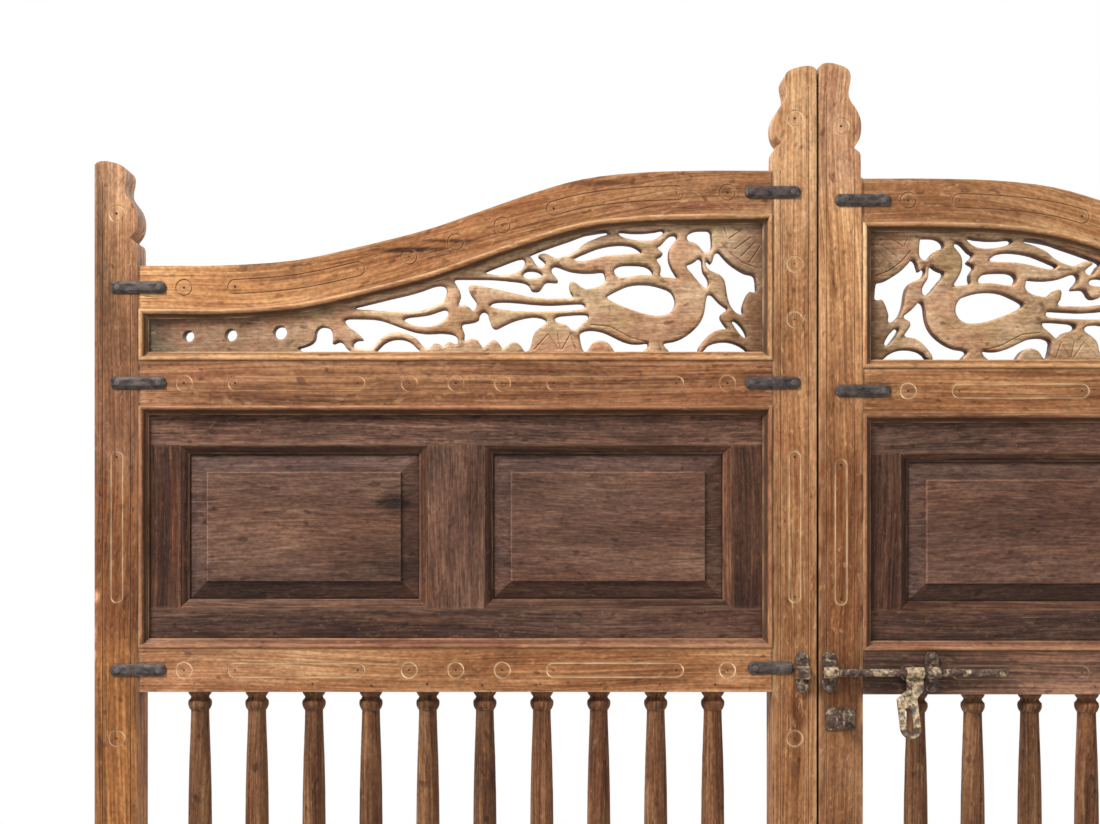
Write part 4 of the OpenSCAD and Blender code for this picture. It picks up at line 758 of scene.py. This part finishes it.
# Carved panels: the pierced sheets with rounded stems and cut lines
CARVE_IN = 0.009
CARVE_WIDE = 1.016 / 1.004
CARVE_HIGH = 0.210 / 0.204
CARVE_LEAN = 0.006
LEAN_FROM = 1.004 / 3
SAME_SPOT = 1e-5
SAME_PLANE = 1e-4
BORDER_WIDTH = 0.0005
MARK_STEP = 0.0008
VOXEL = 0.0019
RELIEF_REACH = 0.012
EDGE_ROUND = 0.0055
EDGE_DROP = 0.0042
DOME_REACH = 0.018
DOME_DROP = 0.0012
ROUND_HOLES_FROM = 0.80
CUT_DEPTH = 0.0016
CUT_HALF = 0.0015
CUT_FINE = 0.0035
CUT_SKIN = 0.004
CUT_LONGEST = 0.04
CUT_LINES = [
    [(68, 200), (62, 184)], [(38, 198), (60, 183)], [(25, 185), (50, 167)], [(18, 177), (40, 155)],
    [(10, 170), (27, 145)], [(72, 176), (57, 159), (38, 145), (14, 136)],
    [(377, 4), (355, 28), (338, 4)], [(339, 28), (334, 4)], [(318, 29), (332, 4)], [(318, 29), (309, 4)],
    [(284, 44), (254, 41), (219, 23), (194, 17)],
]


def sheet_point(leaf, s, z):
    """A point of the carving's drawing, in millimetres from its meeting-side lower corner."""
    along, up = s / 1000, z / 1000
    up += CARVE_LEAN * (along - LEAN_FROM)
    x = leaf_x(leaf, STILE + CARVE_IN + CARVE_WIDE * along)
    return Vector((x, 0, CARVING_Z[leaf] + BEAD + CARVE_HIGH * up))


def cut_gap(spans, spot):
    """Distance in the panel's plane from the nearest cut line."""
    flat = Vector((spot.x, 0, spot.z))
    best = 1.0
    for first, second in spans:
        if abs(flat.x - (first.x + second.x) / 2) > CUT_LONGEST:
            continue
        foot, share = intersect_point_line(flat, first, second)
        foot = first if share < 0 else second if share > 1 else foot
        best = min(best, (flat - foot).length)
    return best


def stem_edges(leaf, shape):
    """A search tree of the front edges of the piercings, apart from the sheet's border and round holes."""
    rims = [
        edge for edge in shape.edges
        if len(edge.link_faces) == 2
        and sorted(face.normal.y < -0.9 for face in edge.link_faces) == [False, True]
        and all(abs(corner.co.y - PANEL_FRONT) < SAME_PLANE for corner in edge.verts)
    ]
    widths = [abs(corner.co.x) for corner in shape.verts]
    foot = min(corner.co.z for corner in shape.verts)
    marks = []
    for edge in rims:
        first, second = (corner.co for corner in edge.verts)
        middle = (first + second) / 2
        x = abs(middle.x)
        beside = min(abs(x - min(widths)), abs(x - max(widths)), abs(middle.z - foot))
        if beside < BORDER_WIDTH or under_neck(leaf, middle) or x > ROUND_HOLES_FROM:
            continue
        count = max(2, int((second - first).length / MARK_STEP))
        marks += [first.lerp(second, i / count) for i in range(count)]
    tree = KDTree(len(marks))
    for number, spot in enumerate(marks):
        tree.insert((spot.x, 0, spot.z), number)
    tree.balance()
    return tree


def carved_relief(leaf):
    """One leaf's carved panel with rounded stems and cut lines, in place of the plain sheet."""
    side = LEAVES[leaf]
    shape = bmesh.new()
    shape.from_mesh(nodes[f"{side}_carved_panel"].data)
    bmesh.ops.remove_doubles(shape, verts=shape.verts, dist=SAME_SPOT)
    tree = stem_edges(leaf, shape)
    mesh = bpy.data.meshes.new(f"{side}_carved_relief")
    shape.to_mesh(mesh)
    shape.free()
    piece = bpy.data.objects.new(f"{side}_carved_relief", mesh)
    scene.collection.objects.link(piece)
    even = piece.modifiers.new("even", "REMESH")
    even.mode = "VOXEL"
    even.voxel_size = VOXEL
    built = bpy.data.meshes.new_from_object(piece.evaluated_get(bpy.context.evaluated_depsgraph_get()))
    piece.modifiers.clear()
    piece.data = built

    lines = [[sheet_point(leaf, *spot) for spot in line] for line in CUT_LINES]
    spans = [(a, b) for line in lines for a, b in zip(line, line[1:])]
    shape = bmesh.new()
    shape.from_mesh(built)
    bmesh.ops.smooth_vert(
        shape, verts=shape.verts, factor=0.5, use_axis_x=True, use_axis_y=True, use_axis_z=True
    )
    near = [
        face for face in shape.faces
        if face.calc_center_median().y < PANEL_FRONT + CUT_SKIN
        and cut_gap(spans, face.calc_center_median()) < CUT_FINE
    ]
    edges = list({edge for face in near for edge in face.edges})
    bmesh.ops.subdivide_edges(shape, edges=edges, cuts=2, use_grid_fill=True)
    for corner in shape.verts:
        back = corner.co.y - PANEL_FRONT
        if back > RELIEF_REACH:
            continue
        gap = tree.find((corner.co.x, 0, corner.co.z))[2]
        lift = max(0.0, 1 - gap / EDGE_ROUND)
        drop = EDGE_DROP * (1 - math.sqrt(1 - min(lift, 1) ** 2))
        drop += DOME_DROP * max(0.0, 1 - gap / DOME_REACH) ** 2
        if back < CUT_SKIN:
            drop += CUT_DEPTH * max(0.0, 1 - cut_gap(spans, corner.co) / CUT_HALF)
        corner.co.y += drop * (1 - max(back, 0) / RELIEF_REACH)
    for face in shape.faces:
        face.smooth = True
    shape.to_mesh(built)
    shape.free()
    built.materials.clear()
    built.materials.append(carved_timber)
    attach(piece, f"{side}_leaf")
    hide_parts(f"{side}_carved_panel")


# Pricked centres of the engraved rings and loops, and the nails over the balusters
RINGS = (-0.4285, -0.0735, 0, 0.0735, 0.4285)
LOOPS = (-0.359, -0.1435, 0.1435, 0.359)
LOOP_IN = 0.0115
STILE_LOOP_IN = 0.0845
HEAD_RING_UP = 0.086
FOOT_RING_DOWN = 0.076
CARVING_OPEN = 0.24
CARVING_RINGS = (0.28, 0.66)
BALUSTERS = 10
NAIL_UP = 0.012
NAIL_STRAYS = (0.004, 0.002)
PRICK_OUT = 0.00015
PRICK_SIZE = 0.0017
PRICK_VARIES = 0.0005
PRICK_DEPTH = 0.0007
PRICK_TAPER = 0.75
PRICK_SIDES = 10


def prick_places(leaf):
    """Distances from the meeting edge, and heights, of one leaf's pricks and nails."""
    spots = [MIDDLE + CLEAR * share for share in RINGS]
    for number, share in enumerate(LOOPS):
        spots.append(MIDDLE + CLEAR * share + (LOOP_IN if number % 2 == 0 else -LOOP_IN))
    marks = []
    for x in spots:
        marks.append((x, LOWER_Z[leaf] + LOWER_RAIL / 2))
        marks.append((x, LOCK_Z[leaf] + LOCK_RAIL / 2))
        marks.append((x, neck_height(leaf, x) + NECK_RAIL / 2))
    for number in range(BALUSTERS):
        x = STILE + CLEAR / (BALUSTERS + 1) * (number + 1)
        up = NAIL_UP + NAIL_STRAYS[1] * math.sin(3 * number)
        marks.append((x + NAIL_STRAYS[0] * math.sin(5 * number), LOWER_Z[leaf] + up))
    for x, shoulder in ((STILE / 2, 1), (STILE + CLEAR + STILE / 2, 0)):
        marks.append((x, PANEL_Z[leaf] + STILE_LOOP_IN))
        marks.append((x, LOCK_Z[leaf] - STILE_LOOP_IN))
        top = CARVING_Z[leaf] + NECK_LOW + NECK_RISE * shoulder + NECK_RAIL
        marks.append((x, top + HEAD_RING_UP))
        if not (leaf and shoulder):
            marks.append((x, LOWER_Z[leaf] - FOOT_RING_DOWN))
        if shoulder and not leaf:
            marks += [(x, CARVING_Z[leaf] + CARVING_OPEN * share) for share in CARVING_RINGS]
    return marks


def prick_marks(leaf):
    """One leaf's pricks and nails as one piece of small cones."""
    side = LEAVES[leaf]
    shape = bmesh.new()
    turn = Matrix.Rotation(math.pi / 2, 4, "X")
    for number, (x, z) in enumerate(prick_places(leaf)):
        size = PRICK_SIZE + PRICK_VARIES * math.sin(7.3 * number)
        place = Matrix.Translation((leaf_x(leaf, x), FRONT - PRICK_OUT, z)) @ turn
        bmesh.ops.create_cone(
            shape, cap_ends=True, segments=PRICK_SIDES, radius1=size, radius2=size * PRICK_TAPER,
            depth=PRICK_DEPTH, matrix=place,
        )
    bmesh.ops.recalc_face_normals(shape, faces=shape.faces)
    mesh = bpy.data.meshes.new(f"{side}_prick_marks")
    shape.to_mesh(mesh)
    shape.free()
    mesh.materials.append(prick_iron)
    piece = bpy.data.objects.new(f"{side}_prick_marks", mesh)
    scene.collection.objects.link(piece)
    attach(piece, f"{side}_leaf")


for number in range(len(LEAVES)):
    carved_relief(number)
for number in range(len(LEAVES)):
    prick_marks(number)


# Light
AMBIENT = 0.34
WHITE = 1.0


def lamp(name, place, aim, size, power):
    light = bpy.data.lights.new(name, "AREA")
    light.shape = "DISK"
    light.size = size
    light.energy = power
    thing = bpy.data.objects.new(name, light)
    scene.collection.objects.link(thing)
    thing.location = place
    thing.rotation_euler = (Vector(aim) - Vector(place)).to_track_quat("-Z", "Y").to_euler()


lamp("high_key", (-3.2, -2.5, 4.9), (-0.2, 0, 1.0), size=1.4, power=400)
lamp("wide_fill", (2.4, -3.0, 1.4), (0.2, 0, 0.9), size=2.4, power=20)
lamp("back_glow", (0.4, 2.8, 2.6), (0, 0, 1.0), size=2.4, power=60)

world = bpy.data.worlds.new("studio")
scene.world = world
world.use_nodes = True
sky = world.node_tree
sky.nodes.clear()


def glow(strength):
    node = sky.nodes.new("ShaderNodeBackground")
    node.inputs["Color"].default_value = (1, 1, 1, 1)
    node.inputs["Strength"].default_value = strength
    return node.outputs[0]


def larger(first, second):
    node = sky.nodes.new("ShaderNodeMath")
    node.operation = "MAXIMUM"
    sky.links.new(first, node.inputs[0])
    sky.links.new(second, node.inputs[1])
    return node.outputs[0]


# White where it is seen directly, in a reflection or through something, and the ambient level elsewhere
rays = sky.nodes.new("ShaderNodeLightPath").outputs
seen = larger(larger(rays["Is Camera Ray"], rays["Is Glossy Ray"]), rays["Is Transmission Ray"])
either = sky.nodes.new("ShaderNodeMixShader")
for number, socket in enumerate((seen, glow(AMBIENT), glow(WHITE))):
    sky.links.new(socket, either.inputs[number])
sky.links.new(either.outputs[0], sky.nodes.new("ShaderNodeOutputWorld").inputs["Surface"])

# Pale floor that fades out towards its edges
FLOOR_HALF = (2.6, 1.25)
FLOOR_DOWN = 0.0005
FADE_FROM = 0.55

floor_mesh = bpy.data.meshes.new("floor")
sheet = bmesh.new()
bmesh.ops.create_grid(sheet, x_segments=1, y_segments=1, size=1.0)
bmesh.ops.scale(sheet, vec=(*FLOOR_HALF, 1), verts=sheet.verts)
bmesh.ops.translate(sheet, vec=(0, 0, -FLOOR_DOWN), verts=sheet.verts)
sheet.to_mesh(floor_mesh)
sheet.free()
floor = bpy.data.objects.new("floor", floor_mesh)
scene.collection.objects.link(floor)
pale_floor = Finish("pale_floor")
pale_floor.skin.inputs["Base Color"].default_value = (0.86, 0.86, 0.86, 1)
pale_floor.skin.inputs["Roughness"].default_value = 0.9
reach = pale_floor.stretch(pale_floor.spot, (1 / FLOOR_HALF[0], 1 / FLOOR_HALF[1], 0))
reach = pale_floor.step(pale_floor.length(reach), FADE_FROM, 1.0, 0.0, 1.0, "SMOOTHSTEP")
fade = pale_floor.add("MixShader", {}, Fac=reach)
pale_floor.plug(fade.inputs[1], pale_floor.skin.outputs[0])
pale_floor.plug(fade.inputs[2], pale_floor.add("BsdfTransparent").outputs[0])
pale_floor.plug(pale_floor.out.inputs["Surface"], fade.outputs[0])
floor_mesh.materials.append(pale_floor.material)
